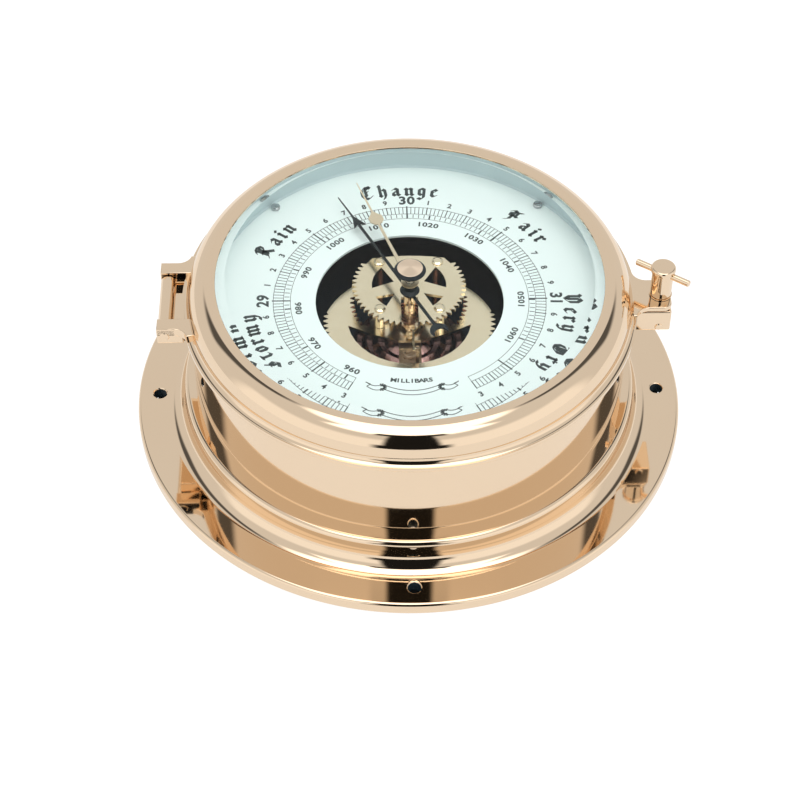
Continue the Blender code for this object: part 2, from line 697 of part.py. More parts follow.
def build_tray():
    bore = ADJUSTER_R + RUN
    tray = turned("movement_tray", [(bore, TRAY_Z + TRAY_T), (TRAY_R, TRAY_Z + TRAY_T),
                                    (TRAY_R, TRAY_Z), (bore, TRAY_Z)], DARK_PAINT, segments=BIG,
                  closed=True)
    for index, place in enumerate(ring_places(TRAY_SCREW_R, 3, 30)):
        name = f"tray_screw_{index + 1}"
        cut(tray, cylinder(name + "_hole", 1.1, 5, 9, None, at=place, segments=TINY,
                           group=CUTTERS))
        profile = screw_profile(1.6, 0.7, 8.9, 7.7, 3.8)
        slotted_screw(name, profile, place, STEEL, 8.4, 10)


def corrugated(low, high, direction):
    """A capsule shell's outer line from its rim to its crown, with three corrugations."""
    rise = high - low
    points = [(CAPSULE_R, low), (CAPSULE_R, low + 0.2 * rise)]
    for radius, share in ((20.0, 0.55), (18.2, 0.45), (16.2, 0.7), (14.2, 0.6), (12.0, 0.85),
                          (9.8, 0.75), (7.5, 1.0)):
        points.append((radius, low + share * rise))
    return points if direction > 0 else list(reversed(points))


def build_capsule():
    lower = corrugated(CAPSULE_MID, CAPSULE_LOW, -1)
    turned("capsule_lower", [(0, CAPSULE_MID)] + list(reversed(lower)) + [(0, CAPSULE_LOW)],
           BRONZE, segments=MID)
    upper = corrugated(CAPSULE_MID + 3.5, CAPSULE_TOP, 1)
    crown = [(0, STUD_TOP), (1.2, STUD_TOP), (1.6, STUD_TOP - 0.6), (1.6, CAPSULE_TOP + 0.6),
             (4.0, CAPSULE_TOP + 0.6), (4.0, CAPSULE_TOP)]
    turned("capsule_upper", crown + list(reversed(upper)) + [(0, CAPSULE_MID + 3.5)], BRONZE,
           segments=MID)
    screw = turned("adjusting_screw", [(0, CAPSULE_LOW - 0.3), (ADJUSTER_R, CAPSULE_LOW - 0.3),
                                       (ADJUSTER_R, 4.6), (3.8, 4.6), (3.8, 3.0), (0, 3.0)], STEEL,
                   segments=BIG)
    cut(screw, box("adjusting_slot", (-5, -0.4, 2), (5, 0.4, 3.7), None, group=CUTTERS))


def build_lever():
    bar_top = LEVER_BAR_Z + LEVER_BAR_T
    lever = box("main_lever", (-LEVER_HALF, LEVER_Y - 2.3, LEVER_BAR_Z), (LEVER_HALF, 2.6, bar_top),
                BRONZE)
    lug = box("lever_lug", (-LEVER_HALF, LEVER_Y - 2.3, LEVER_Z - 2.0),
              (LEVER_HALF, LEVER_Y + 2.3, LEVER_BAR_Z + 0.5), None, group=CUTTERS)
    upright = box("lever_upright", (1.9, UPRIGHT_Y - 1.0, bar_top - 0.5),
                  (3.1, UPRIGHT_Y + 1.0, LINK_Z + 0.9), None, group=CUTTERS)
    join(lever, lug, upright)
    shaft_bore = rod("lever_bore", 1.1, (-9, LEVER_Y, LEVER_Z), (9, LEVER_Y, LEVER_Z), None,
                     group=CUTTERS)
    link_fork = box("upright_fork", (-5, UPRIGHT_Y - 0.42, LINK_Z - 1.2),
                    (5, UPRIGHT_Y + 0.42, LINK_Z + 5), None, group=CUTTERS)
    screw_bore = cylinder("lever_screw_bore", 1.2, 30, 45, None, at=(0, -15.3), segments=TINY,
                          group=CUTTERS)
    cut(lever, shaft_bore, link_fork, screw_bore)
    profile = screw_profile(2.2, 1.0, bar_top + 1.4, bar_top + 0.15, LEVER_BAR_Z - 0.4)
    slotted_screw("lever_screw", profile, (0, -15.3), BRONZE, bar_top + 0.9, bar_top + 3, angle=20)
    rod("rocker_shaft", 1.0, (-10.6, LEVER_Y, LEVER_Z), (10.6, LEVER_Y, LEVER_Z), STEEL)
    for side, label in ((-1, "left"), (1, "right")):
        inner, outer = sorted((side * 7.4, side * 9.8))
        bracket = box("rocker_bracket_" + label, (inner, LEVER_Y - 3, TRAY_Z + TRAY_T + 0.2),
                      (outer, LEVER_Y + 3, LEVER_Z + 2.6), PLATE_BRASS)
        cut(bracket, rod(f"bracket_bore_{label}", 1.1, (-12, LEVER_Y, LEVER_Z),
                         (12, LEVER_Y, LEVER_Z), None, group=CUTTERS))


def build_link():
    """The drive link from the lever's upright to the crank on the sector's shaft."""
    low, high = LINK_Z - 0.35, LINK_Z + 0.35
    bar = [(0.7, UPRIGHT_Y - 0.9), (1.5, UPRIGHT_Y - 0.9), (1.5, SECTOR_Y - 1.0)]
    eye = arc(CRANK_R, SECTOR_Y, 1.25, -70, 250, 10)
    link = flat("drive_link", [bar + eye + [(0.7, SECTOR_Y - 1.2)], circle(CRANK_R, SECTOR_Y, 0.75, TINY)],
                low, high, PLATE_BRASS)
    pin = rod("link_pin", 0.3, (1.2, UPRIGHT_Y, LINK_Z), (3.3, UPRIGHT_Y, LINK_Z), None,
              segments=TINY, group=CUTTERS)
    join(link, pin)


def gear_teeth(teeth, pitch_r, module, share, first, count):
    """Trapezoid teeth: share is the part of the pitch that each tooth takes at the pitch circle."""
    pitch = 360 / teeth
    points = []
    for index in range(count):
        middle = first + index * pitch
        for offset, radius in ((-0.62, pitch_r - 1.1 * module), (-0.5, pitch_r),
                               (-0.22, pitch_r + 0.75 * module), (0.22, pitch_r + 0.75 * module),
                               (0.5, pitch_r), (0.62, pitch_r - 1.1 * module)):
            angle = math.radians(middle + offset * share * pitch)
            points.append((radius * math.cos(angle), radius * math.sin(angle)))
    return points


def build_sector():
    module = 2 * SECTOR_R / (PINION_TEETH * GEAR_RATIO)
    teeth = int(PINION_TEETH * GEAR_RATIO)
    pitch = 360 / teeth
    count = 11
    start = 90 - 5.5 * pitch
    points = gear_teeth(teeth, SECTOR_R, module, 0.40, start, count)
    outline = [(x, SECTOR_Y + y) for x, y in points]
    outline += [(-1.2, SECTOR_Y + 2.2)] + arc(0, SECTOR_Y, 1.6, 120, 420, 8) + [(1.8, SECTOR_Y + 2.2)]
    sector = flat("sector_gear", [outline], SECTOR_Z, SECTOR_Z + SECTOR_T, PLATE_BRASS)
    shaft = cylinder("sector_shaft", 0.55, LOWER_PLATE_Z - 0.6, 45.3, None, at=(0, SECTOR_Y),
                     segments=TINY, group=CUTTERS)
    crank = box("sector_crank", (-0.7, SECTOR_Y - 0.6, 44.5), (CRANK_R + 0.5, SECTOR_Y + 0.6, 45.2),
                None, group=CUTTERS)
    pin = cylinder("sector_crank_pin", 0.3, 44.9, 47.4, None, at=(CRANK_R, SECTOR_Y), segments=TINY,
                   group=CUTTERS)
    join(sector, shaft, crank, pin)


def build_arbor():
    """The pointer's arbor: foot pivot, pinion, hairspring collet, polished pipe and hand seat."""
    profile = [(0, 56.9), (0.7, 56.9), (0.7, 55.2), (ARBOR_PIPE_R, 55.2), (ARBOR_PIPE_R, 45.9),
               (1.0, 45.9), (1.0, 41.5), (0.6, 41.5), (0.6, 39.7), (0, 39.7)]
    arbor = turned("pointer_arbor", profile, PLATE_BRASS, segments=24)
    pitch_r = SECTOR_R / GEAR_RATIO
    module = 2 * pitch_r / PINION_TEETH
    points = gear_teeth(PINION_TEETH, pitch_r, module, 0.36, -90, PINION_TEETH)
    join(arbor, flat("pinion", [points], 41.7, 43.7, None, group=CUTTERS))


def build_hairspring():
    turns = 3.5
    steps = int(turns * 18)
    points = []
    for step in range(steps + 1):
        share = step / steps
        radius = 1.5 + 4.6 * share
        angle = math.radians(360 * turns * share)
        points.append((radius * math.cos(angle), radius * math.sin(angle), 45.0))
    wire("hairspring", points, 0.16, COPPER)
    end = points[-1]
    reach = 1 + 0.9 / math.hypot(end[0], end[1])
    cylinder("hairspring_stud", 0.6, LOWER_PLATE_Z + PLATE_T + 0.2, 46.2, PLATE_BRASS,
             at=(end[0] * reach, end[1] * reach), segments=TINY)


# ---------------------------------------------------------------- joints

def pivot(name, place, pieces):
    """An empty on a joint's axis that carries the pieces that move about it."""
    empty = bpy.data.objects.new(name, None)
    empty.empty_display_size = 0.01
    empty.location = [value * MM for value in place]
    PARTS.objects.link(empty)
    bpy.context.view_layer.update()
    for piece in pieces:
        child = bpy.data.objects[piece]
        child.parent = empty
        child.matrix_parent_inverse = empty.matrix_world.inverted()


def build_pivots():
    pivot("bezel_pivot", (HINGE_X, 0, HINGE_Z),
          ["bezel_ring", "glass", "glass_gasket", "glass_retaining_ring"])
    pivot("clamp_pivot", (CLAMP_X, 0, TEE_Z), ["clamp_washer", "clamp_screw", "clamp_tee_bar"])
    pivot("set_hand_pivot", (0, 0, SET_HAND_Z), ["set_hand", "set_hand_spindle", "set_hand_knob"])
    pivot("pointer_pivot", (0, 0, POINTER_Z), ["pointer", "pointer_collet", "pointer_arbor"])
    pivot("sector_pivot", (0, SECTOR_Y, SECTOR_Z), ["sector_gear"])
    pivot("link_pivot", (CRANK_R, SECTOR_Y, LINK_Z), ["drive_link"])
    pivot("lever_pivot", (0, LEVER_Y, LEVER_Z), ["main_lever", "lever_screw"])
    pivot("capsule_pivot", (0, 0, CAPSULE_TOP), ["capsule_upper"])
    pivot("adjuster_pivot", (0, 0, TRAY_Z), ["adjusting_screw"])


build_case()
build_back()
build_bezel()
build_glass()
build_clamp()
build_dial()
build_pointer()
build_set_hand()
build_upper_plate()
build_lower_plate()
build_pillars()
build_tray()
build_capsule()
build_lever()
build_link()
build_sector()
build_arbor()
build_hairspring()
build_pivots()
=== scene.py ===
"""Looks of the ship barometer: polished turned brass, bevelled glass, printed dial and movement.

Lengths are in millimetres and every helper turns them into metres. +Z runs from the flange to the
glass and +Y is 12 o'clock, as in the frame. Dial angles run clockwise from 12 o'clock.
"""

import math

import bmesh
import bpy
from mathutils import Matrix, Vector


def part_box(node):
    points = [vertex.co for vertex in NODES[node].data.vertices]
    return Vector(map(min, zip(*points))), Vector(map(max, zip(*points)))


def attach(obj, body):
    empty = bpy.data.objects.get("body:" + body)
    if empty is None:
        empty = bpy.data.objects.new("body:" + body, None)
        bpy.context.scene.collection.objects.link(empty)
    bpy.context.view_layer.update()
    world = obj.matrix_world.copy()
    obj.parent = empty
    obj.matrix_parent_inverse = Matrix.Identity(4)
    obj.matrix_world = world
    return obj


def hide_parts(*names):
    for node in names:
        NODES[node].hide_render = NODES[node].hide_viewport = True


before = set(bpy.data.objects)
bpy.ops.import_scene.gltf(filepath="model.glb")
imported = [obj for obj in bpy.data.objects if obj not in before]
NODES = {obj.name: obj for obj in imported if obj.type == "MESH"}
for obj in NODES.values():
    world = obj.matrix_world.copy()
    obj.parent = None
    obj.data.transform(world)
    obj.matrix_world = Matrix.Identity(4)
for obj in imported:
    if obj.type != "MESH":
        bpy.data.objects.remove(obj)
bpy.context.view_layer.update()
MM = 0.001


def low(node, axis):
    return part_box(node)[0][axis] / MM


def high(node, axis):
    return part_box(node)[1][axis] / MM


# Driving sizes, read from the frame.
FLANGE_R = high("case_body", 0)
SPIGOT_Z = high("case_body", 2)
RING_TOP = high("bezel_ring", 2)
EAR_END_X = low("bezel_ring", 0)
TAB_END_X = high("bezel_ring", 0)
GLASS_R = high("glass", 0)
GLASS_Z = low("glass", 2)
GLASS_TOP = high("glass", 2)
DIAL_Z = high("dial_plate", 2)
DIAL_R = high("dial_plate", 0)
POST_TOP = high("clamp_screw", 2)
KNOB_TOP = high("set_hand_knob", 2)
CLAMP_X = (low("clamp_washer", 0) + high("clamp_washer", 0)) / 2
HINGE_X = (low("hinge_pin", 0) + high("hinge_pin", 0)) / 2
HINGE_Z = (low("hinge_pin", 2) + high("hinge_pin", 2)) / 2
TEE_Z = (low("clamp_tee_bar", 2) + high("clamp_tee_bar", 2)) / 2

# Sizes of the case that the frame's boxes do not give.
DRUM_R = 82.0
SHOULDER_Z = 54.0
SPIGOT_R = 79.0
STEP_R = 86.4
STEP_Z = 16.6
STEP_COVE_R = 6.8
FLANGE_T = 4.7
FIXING_R = 96.7
FIXING_HOLE_R = 2.5
BORE_R = 79.4
REBATE_R = 81.0
REBATE_T = 2.6
MOUTH_R = 76.0
MOUTH_T = 5.7
LEDGE_R = 70.0
LEDGE_Z = (47.0, 49.0, 51.0)
SPIGOT_BORE_R = 76.6

# Sizes of the bezel and its glass.
BEZEL_Z = 54.3
BEAD_R = 84.8
BEAD_TOP = 58.0
RING_R = 82.3
RING_ROUND_R = 9.3
COVE_FOOT_Z = 56.0
COVE_R = 2.4
OPENING_R = 71.9
LIP_Z = 66.5
SEAT_R = 77.6
GLASS_BORE_R = 76.4
BEVEL_R = 68.3
BEVEL_FOOT_R = 73.4
RIM_T = 2.4
SPINDLE_HOLE_R = 1.6
KNUCKLE_HALF = 11.7
EAR_Y = (12.1, 17.6)
EAR_FOOT_Z = 50.7
TAB_HALF = 7.5
TAB_TOP = 56.4

# Sizes of the dial and the clamp's tee bar.
WINDOW_R = 35.1
TEE_ANGLE = -34.0
TEE_LENGTH = 22.0

# Segments round a large, a middling and a small turned piece.
FINE = 288
ROUND = 64
SMALL = 40


# ---------------------------------------------------------------- shapes

def arc(centre_x, centre_y, radius, start, stop, steps):
    """Points on an arc, from the angle start to the angle stop in degrees."""
    points = []
    for step in range(steps + 1):
        angle = math.radians(start + (stop - start) * step / steps)
        points.append((centre_x + radius * math.cos(angle), centre_y + radius * math.sin(angle)))
    return points


def cove(wall_x, foot_y, radius, steps=14):
    """A hollow quarter round from an upright wall down to a flat foot, as sharp corners."""
    curve = arc(wall_x + radius, foot_y + radius, radius, 180, 270, steps)
    return [(x, y, 0.0) for x, y in curve]


def rounded(corners, steps=5):
    """A closed outline from (x, y, radius) corners, each rounded by its own radius."""
    points = []
    count = len(corners)
    for index, (x, y, radius) in enumerate(corners):
        corner = Vector((x, y))
        before = Vector(corners[index - 1][:2]) - corner
        after = Vector(corners[(index + 1) % count][:2]) - corner
        if radius <= 0 or before.length < 1e-6 or after.length < 1e-6:
            points.append((x, y))
            continue
        half = before.angle(after) / 2
        if half > math.radians(89):
            points.append((x, y))
            continue
        reach = min(radius / math.tan(half), 0.49 * before.length, 0.49 * after.length)
        radius = reach * math.tan(half)
        middle = corner + (before.normalized() + after.normalized()).normalized() * radius / math.sin(half)
        start = corner + before.normalized() * reach - middle
        stop = corner + after.normalized() * reach - middle
        turn = start.angle_signed(stop)
        for step in range(steps + 1):
            spoke = start.copy()
            spoke.rotate(Matrix.Rotation(-turn * step / steps, 2))
            points.append(tuple(middle + spoke))
    return points


def smooth(piece, angle=32):
    """Smooth shading with sharp edges above an angle, and flat faces kept flat."""
    mesh = piece.data
    mesh.shade_smooth()
    mesh.set_sharp_from_angle(angle=math.radians(angle))
    weigh = piece.modifiers.new("weigh", "WEIGHTED_NORMAL")
    weigh.keep_sharp = True
    return piece


def add_piece(name, mesh, material, body):
    piece = bpy.data.objects.new(name, mesh)
    bpy.context.scene.collection.objects.link(piece)
    mesh.materials.clear()
    mesh.materials.append(material)
    if body:
        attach(piece, body)
    return piece


def turned(name, profile, material, body, at=(0, 0, 0), segments=FINE, angle=32):
    """A turned piece from a closed profile of (radius, height) points."""
    mesh = bpy.data.meshes.new(name)
    count = len(profile)
    verts = []
    for step in range(segments):
        turn = 2 * math.pi * step / segments
        for radius, height in profile:
            verts.append((radius * math.cos(turn) * MM, radius * math.sin(turn) * MM, height * MM))
    faces = []
    for step in range(segments):
        here, there = step * count, (step + 1) % segments * count
        for index in range(count):
            after = (index + 1) % count
            faces.append((here + index, there + index, there + after, here + after))
    mesh.from_pydata(verts, [], faces)
    clean(mesh)
    piece = add_piece(name, mesh, material, body)
    piece.location = [value * MM for value in at]
    return smooth(piece, angle)


def clean(mesh):
    work = bmesh.new()
    work.from_mesh(mesh)
    bmesh.ops.remove_doubles(work, verts=work.verts, dist=1e-8)
    bmesh.ops.dissolve_degenerate(work, edges=work.edges, dist=1e-9)
    bmesh.ops.recalc_face_normals(work, faces=work.faces)
    work.to_mesh(mesh)
    work.free()


def plate_mesh(name, loops, bottom, top, bevel):
    """A flat shape between two heights with rounded edges, from an outline and its holes."""
    curve = bpy.data.curves.new(name, "CURVE")
    curve.dimensions = "2D"
    curve.fill_mode = "BOTH"
    curve.extrude = ((top - bottom) / 2 - bevel) * MM
    curve.bevel_depth = bevel * MM
    curve.bevel_resolution = 1
    curve.offset = -bevel * MM
    for loop in loops:
        spline = curve.splines.new("POLY")
        spline.points.add(len(loop) - 1)
        for point, (x, y) in zip(spline.points, loop):
            point.co = (x * MM, y * MM, 0, 1)
        spline.use_cyclic_u = True
    guide = bpy.data.objects.new(name, curve)
    bpy.context.scene.collection.objects.link(guide)
    bpy.context.view_layer.update()
    mesh = bpy.data.meshes.new_from_object(guide.evaluated_get(bpy.context.evaluated_depsgraph_get()))
    mesh.transform(Matrix.Translation((0, 0, (bottom + top) / 2 * MM)))
    bpy.data.objects.remove(guide, do_unlink=True)
    clean(mesh)
    return mesh


def plate(name, loops, bottom, top, material, body, bevel=0.15):
    piece = add_piece(name, plate_mesh(name, loops, bottom, top, bevel), material, body)
    return smooth(piece, 50)


def block(name, first, last, material, body, bevel=0.4):
    """A rounded block between two corners."""
    mesh = bpy.data.meshes.new(name)
    work = bmesh.new()
    bmesh.ops.create_cube(work, size=1)
    size = [(last[i] - first[i]) * MM for i in range(3)]
    middle = [(last[i] + first[i]) / 2 * MM for i in range(3)]
    bmesh.ops.transform(work, matrix=Matrix.Diagonal((*size, 1)), verts=work.verts)
    bmesh.ops.translate(work, vec=middle, verts=work.verts)
    bmesh.ops.bevel(work, geom=work.edges, offset=bevel * MM, segments=3, profile=0.5, affect="EDGES")
    work.to_mesh(mesh)
    work.free()
    return smooth(add_piece(name, mesh, material, body), 50)


def rod(name, radius, start, end, material, body, edge=0.25):
    """A turned rod between two points, with chamfered ends."""
    start, end = Vector(start), Vector(end)
    length = (end - start).length
    profile = [(0, 0), (radius - edge, 0), (radius, edge), (radius, length - edge),
               (radius - edge, length), (0, length)]
    piece = turned(name, profile, material, body, segments=SMALL)
    turn = Vector((0, 0, 1)).rotation_difference(end - start).to_matrix().to_4x4()
    piece.data.transform(Matrix.Translation(start * MM) @ turn)
    return piece


def on_dial(radius, angle):
    """The place on the dial at a radius and a clockwise angle from 12 o'clock."""
    return (radius * math.sin(math.radians(angle)), radius * math.cos(math.radians(angle)))


def cut_away(piece, cutter):
    """Takes a cutter's volume out of a piece and removes the cutter."""
    step = piece.modifiers.new("cut", "BOOLEAN")
    step.operation = "DIFFERENCE"
    step.solver = "EXACT"
    step.object = cutter
    piece.modifiers.move(len(piece.modifiers) - 1, 0)
    bpy.context.view_layer.update()
    mesh = bpy.data.meshes.new_from_object(piece.evaluated_get(bpy.context.evaluated_depsgraph_get()))
    for modifier in list(piece.modifiers):
        piece.modifiers.remove(modifier)
    piece.data = mesh
    smooth(piece)
    bpy.data.objects.remove(cutter, do_unlink=True)


def cut_holes(piece, holes, bottom, top, sink):
    """Round holes through a flat part, each (x, y, radius), with a countersink."""
    for x, y, radius in holes:
        profile = [(0, bottom - 1), (radius, bottom - 1), (radius, top - sink),
                   (radius + sink + 1, top + 1), (0, top + 1)]
        cut_away(piece, turned("cutter", profile, piece.data.materials[0], None, at=(x, y, 0),
                               segments=SMALL))


# ---------------------------------------------------------------- materials

def new_material(name):
    material = bpy.data.materials.new(name)
    material.use_nodes = True
    return material, material.node_tree.nodes, material.node_tree.links


def noise_node(nodes, links, scale, detail=3.0):
    """Noise in object space."""
    place = nodes.new("ShaderNodeTexCoord")
    noise = nodes.new("ShaderNodeTexNoise")
    noise.inputs["Scale"].default_value = scale
    noise.inputs["Detail"].default_value = detail
    links.new(place.outputs["Object"], noise.inputs["Vector"])
    return noise


def map_range(nodes, links, source, low_value, high_value):
    node = nodes.new("ShaderNodeMapRange")
    node.inputs["To Min"].default_value = low_value
    node.inputs["To Max"].default_value = high_value
    links.new(source, node.inputs["Value"])
    return node.outputs["Result"]


def mixed_colour(nodes, links, factor, first, second):
    node = nodes.new("ShaderNodeMix")
    node.data_type = "RGBA"
    node.inputs["A"].default_value = (*first, 1)
    node.inputs["B"].default_value = (*second, 1)
    links.new(factor, node.inputs["Factor"])
    return node.outputs["Result"]


def metal(name, light, dark, smooth_rough, worn_rough, scale=60.0, bump=0.0, bump_scale=400.0):
    """A metal with slow colour drift, uneven polish and an optional fine surface texture."""
    material, nodes, links = new_material(name)
    shader = nodes["Principled BSDF"]
    shader.inputs["Metallic"].default_value = 1.0
    drift = noise_node(nodes, links, scale)
    links.new(mixed_colour(nodes, links, drift.outputs["Fac"], light, dark), shader.inputs["Base Color"])
    links.new(map_range(nodes, links, drift.outputs["Fac"], smooth_rough, worn_rough),
              shader.inputs["Roughness"])
    if bump:
        grain = noise_node(nodes, links, bump_scale, 4.0)
        relief = nodes.new("ShaderNodeBump")
        relief.inputs["Strength"].default_value = bump
        relief.inputs["Distance"].default_value = 0.0001
        links.new(grain.outputs["Fac"], relief.inputs["Height"])
        links.new(relief.outputs["Normal"], shader.inputs["Normal"])
    return material


def brushed_round(material):
    """Turning marks around the Z axis, which draw a highlight out into a fan."""
    nodes, links = material.node_tree.nodes, material.node_tree.links
    around = nodes.new("ShaderNodeTangent")
    around.direction_type = "RADIAL"
    around.axis = "Z"
    shader = nodes["Principled BSDF"]
    shader.inputs["Anisotropic"].default_value = 0.85
    links.new(around.outputs["Tangent"], shader.inputs["Tangent"])
    return material


def paint(name, light, dark, roughness, scale=90.0, bump=0.05, bump_scale=900.0):
    material, nodes, links = new_material(name)
    shader = nodes["Principled BSDF"]
    drift = noise_node(nodes, links, scale)
    links.new(mixed_colour(nodes, links, drift.outputs["Fac"], light, dark), shader.inputs["Base Color"])
    links.new(map_range(nodes, links, drift.outputs["Fac"], roughness - 0.05, roughness + 0.05),
              shader.inputs["Roughness"])
    grain = noise_node(nodes, links, bump_scale)
    relief = nodes.new("ShaderNodeBump")
    relief.inputs["Strength"].default_value = bump
    relief.inputs["Distance"].default_value = 0.0001
    links.new(grain.outputs["Fac"], relief.inputs["Height"])
    links.new(relief.outputs["Normal"], shader.inputs["Normal"])
    return material


def clear_glass(name, tint, ior, shine):
    """Coated glass: it refracts, reflects faintly and lets the studio light through unchanged."""
    material, nodes, links = new_material(name)
    nodes.remove(nodes["Principled BSDF"])
    bend = nodes.new("ShaderNodeBsdfRefraction")
    bend.inputs["Color"].default_value = (*tint, 1)
    bend.inputs["Roughness"].default_value = 0.0
    bend.inputs["IOR"].default_value = ior
    gloss = nodes.new("ShaderNodeBsdfGlossy")
    gloss.inputs["Roughness"].default_value = 0.0
    fresnel = nodes.new("ShaderNodeFresnel")
    fresnel.inputs["IOR"].default_value = ior
    share = map_range(nodes, links, fresnel.outputs["Fac"], 0.0, shine)
    surface = nodes.new("ShaderNodeMixShader")
    links.new(share, surface.inputs["Fac"])
    links.new(bend.outputs["BSDF"], surface.inputs[1])
    links.new(gloss.outputs["BSDF"], surface.inputs[2])
    through = nodes.new("ShaderNodeBsdfTransparent")
    path = nodes.new("ShaderNodeLightPath")
    either = nodes.new("ShaderNodeMath")
    either.operation = "MAXIMUM"
    blend = nodes.new("ShaderNodeMixShader")
    links.new(path.outputs["Is Shadow Ray"], either.inputs[0])
    links.new(path.outputs["Is Diffuse Ray"], either.inputs[1])
    links.new(either.outputs["Value"], blend.inputs["Fac"])
    links.new(surface.outputs["Shader"], blend.inputs[1])
    links.new(through.outputs["BSDF"], blend.inputs[2])
    links.new(blend.outputs["Shader"], nodes["Material Output"].inputs["Surface"])
    return material


BRASS = metal("polished_brass_look", (0.89, 0.71, 0.52), (0.87, 0.68, 0.49), 0.03, 0.06, 25.0)
TURNED_BRASS = brushed_round(metal("turned_brass_look", (0.93, 0.78, 0.62), (0.86, 0.68, 0.50), 0.28, 0.34))
PLATE_BRASS = metal("plate_brass_look", (0.98, 0.86, 0.64), (0.90, 0.76, 0.54), 0.14, 0.24, 160.0)
PALE_BRASS = metal("set_hand_look", (0.90, 0.77, 0.58), (0.84, 0.70, 0.50), 0.25, 0.4, 200.0)
BRONZE = metal("bronze_look", (0.66, 0.52, 0.38), (0.34, 0.24, 0.17), 0.2, 0.4, 500.0)
CAPSULE = metal("capsule_look", (0.62, 0.38, 0.34), (0.36, 0.19, 0.17), 0.12, 0.22, 120.0)
COPPER = metal("copper_look", (0.80, 0.42, 0.28), (0.62, 0.30, 0.20), 0.2, 0.35, 300.0)
STEEL = metal("steel_look", (0.66, 0.67, 0.68), (0.48, 0.49, 0.50), 0.18, 0.35, 300.0, 0.05)
ENAMEL = paint("dial_enamel_look", (0.84, 0.945, 0.925), (0.82, 0.93, 0.91), 0.42, 60.0, 0.01, 500.0)
# The dial's white wall is coloured grey-blue, darker than the enamel: painted shade in the recess between
# the dial and the glass.
WALL_PAINTED_SHADE = paint("dial_wall_painted_shade_look", (0.56, 0.68, 0.70), (0.50, 0.62, 0.64), 0.45, 60.0, 0.01, 500.0)
INK = paint("dial_ink_look", (0.035, 0.05, 0.05), (0.05, 0.065, 0.065), 0.5)
# Black lacquer for the pointer and its cap; on the knob's flare and neck it is painted shade and
# reflection.
LACQUER_AND_SHADE = paint("black_lacquer_and_shade_look", (0.004, 0.009, 0.011), (0.008, 0.014, 0.016), 0.45)
# Dark blue-black for the tray, the back cover and the inside of the case; on the walls of the fixing holes
# it is painted shade.
DARK_PAINT_AND_SHADE = paint("dark_paint_and_shade_look", (0.012, 0.026, 0.036), (0.022, 0.042, 0.056), 0.5, 200.0, 0.05)
RUBBER = paint("gasket_look", (0.04, 0.04, 0.04), (0.06, 0.06, 0.055), 0.75, 200.0, 0.2)
GLASS = clear_glass("glass_look", (0.985, 1.0, 0.998), 1.5, 0.3)


# ---------------------------------------------------------------- case

def build_case():
    corners = [(SPIGOT_R, SPIGOT_Z, 0.4), (SPIGOT_R, SHOULDER_Z, 0.0), (DRUM_R, SHOULDER_Z, 0.5),
               (DRUM_R, STEP_Z, 0.0), (STEP_R, STEP_Z, 2.2)]
    corners += cove(STEP_R, FLANGE_T, STEP_COVE_R)
    slope_z, ledge_z, ledge_top = LEDGE_Z
    corners += [(FLANGE_R, FLANGE_T, 1.4), (FLANGE_R, 0.0, 0.5), (REBATE_R, 0.0, 0.3),
                (REBATE_R, REBATE_T, 0.0), (MOUTH_R, REBATE_T, 0.2), (MOUTH_R, MOUTH_T, 0.0),
                (BORE_R, MOUTH_T, 0.0), (BORE_R, slope_z, 0.0), (LEDGE_R, ledge_z, 0.0),
                (LEDGE_R, ledge_top, 0.2), (SPIGOT_BORE_R, ledge_top, 0.0), (SPIGOT_BORE_R, SPIGOT_Z, 0.3)]
    shell = turned("case_shell", rounded(corners, 8), BRASS, "case")
    places = [on_dial(FIXING_R, 90 * index) for index in range(4)]
    cut_holes(shell, [(x, y, FIXING_HOLE_R) for x, y in places], 0.0, FLANGE_T, 0.35)
    # Faces inside the case turn dark blue-black, and the walls of the fixing holes turn dark as painted
    # shade.
    shell.data.materials.append(DARK_PAINT_AND_SHADE)
    for face in shell.data.polygons:
        centre = face.center / MM
        inside = math.hypot(centre.x, centre.y) < BORE_R + 0.1 and 3.0 < centre.z < 50.0
        shaded_hole_wall = 0.1 < centre.z < FLANGE_T - 0.4 and any(
            math.dist(centre[:2], place) < FIXING_HOLE_R + 0.1 for place in places)
        if inside or shaded_hole_wall:
            face.material_index = 1
    rod("hinge_knuckle", 2.75, (HINGE_X, -KNUCKLE_HALF, HINGE_Z), (HINGE_X, KNUCKLE_HALF, HINGE_Z), BRASS,
        "case")
    block("hinge_web", (HINGE_X - 1.2, -KNUCKLE_HALF, HINGE_Z - 8.5),
          (-DRUM_R + 1.0, KNUCKLE_HALF, HINGE_Z - 1.6), BRASS, "case", 0.5)
    block("clamp_lug", (DRUM_R - 1.0, -TAB_HALF, 44.5), (TAB_END_X, TAB_HALF, SHOULDER_Z), BRASS, "case",
          0.6)
    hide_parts("case_body")


def flared_tab(half, straight_x, fillet, steps=12):
    """Half of a tab's outline at +X, +Y: straight at the half width, then a fillet on the bead."""
    centre_y = half + fillet
    centre_x = math.sqrt((BEAD_R + fillet) ** 2 - centre_y ** 2)
    touch = math.degrees(math.atan2(-centre_y, -centre_x))
    points = [(straight_x, half)] + arc(centre_x, centre_y, fillet, -90, touch, steps)
    root_x, root_y = points[-1]
    inner = (BEAD_R - 4.0) / BEAD_R
    return points + [(root_x * inner, root_y * inner)]


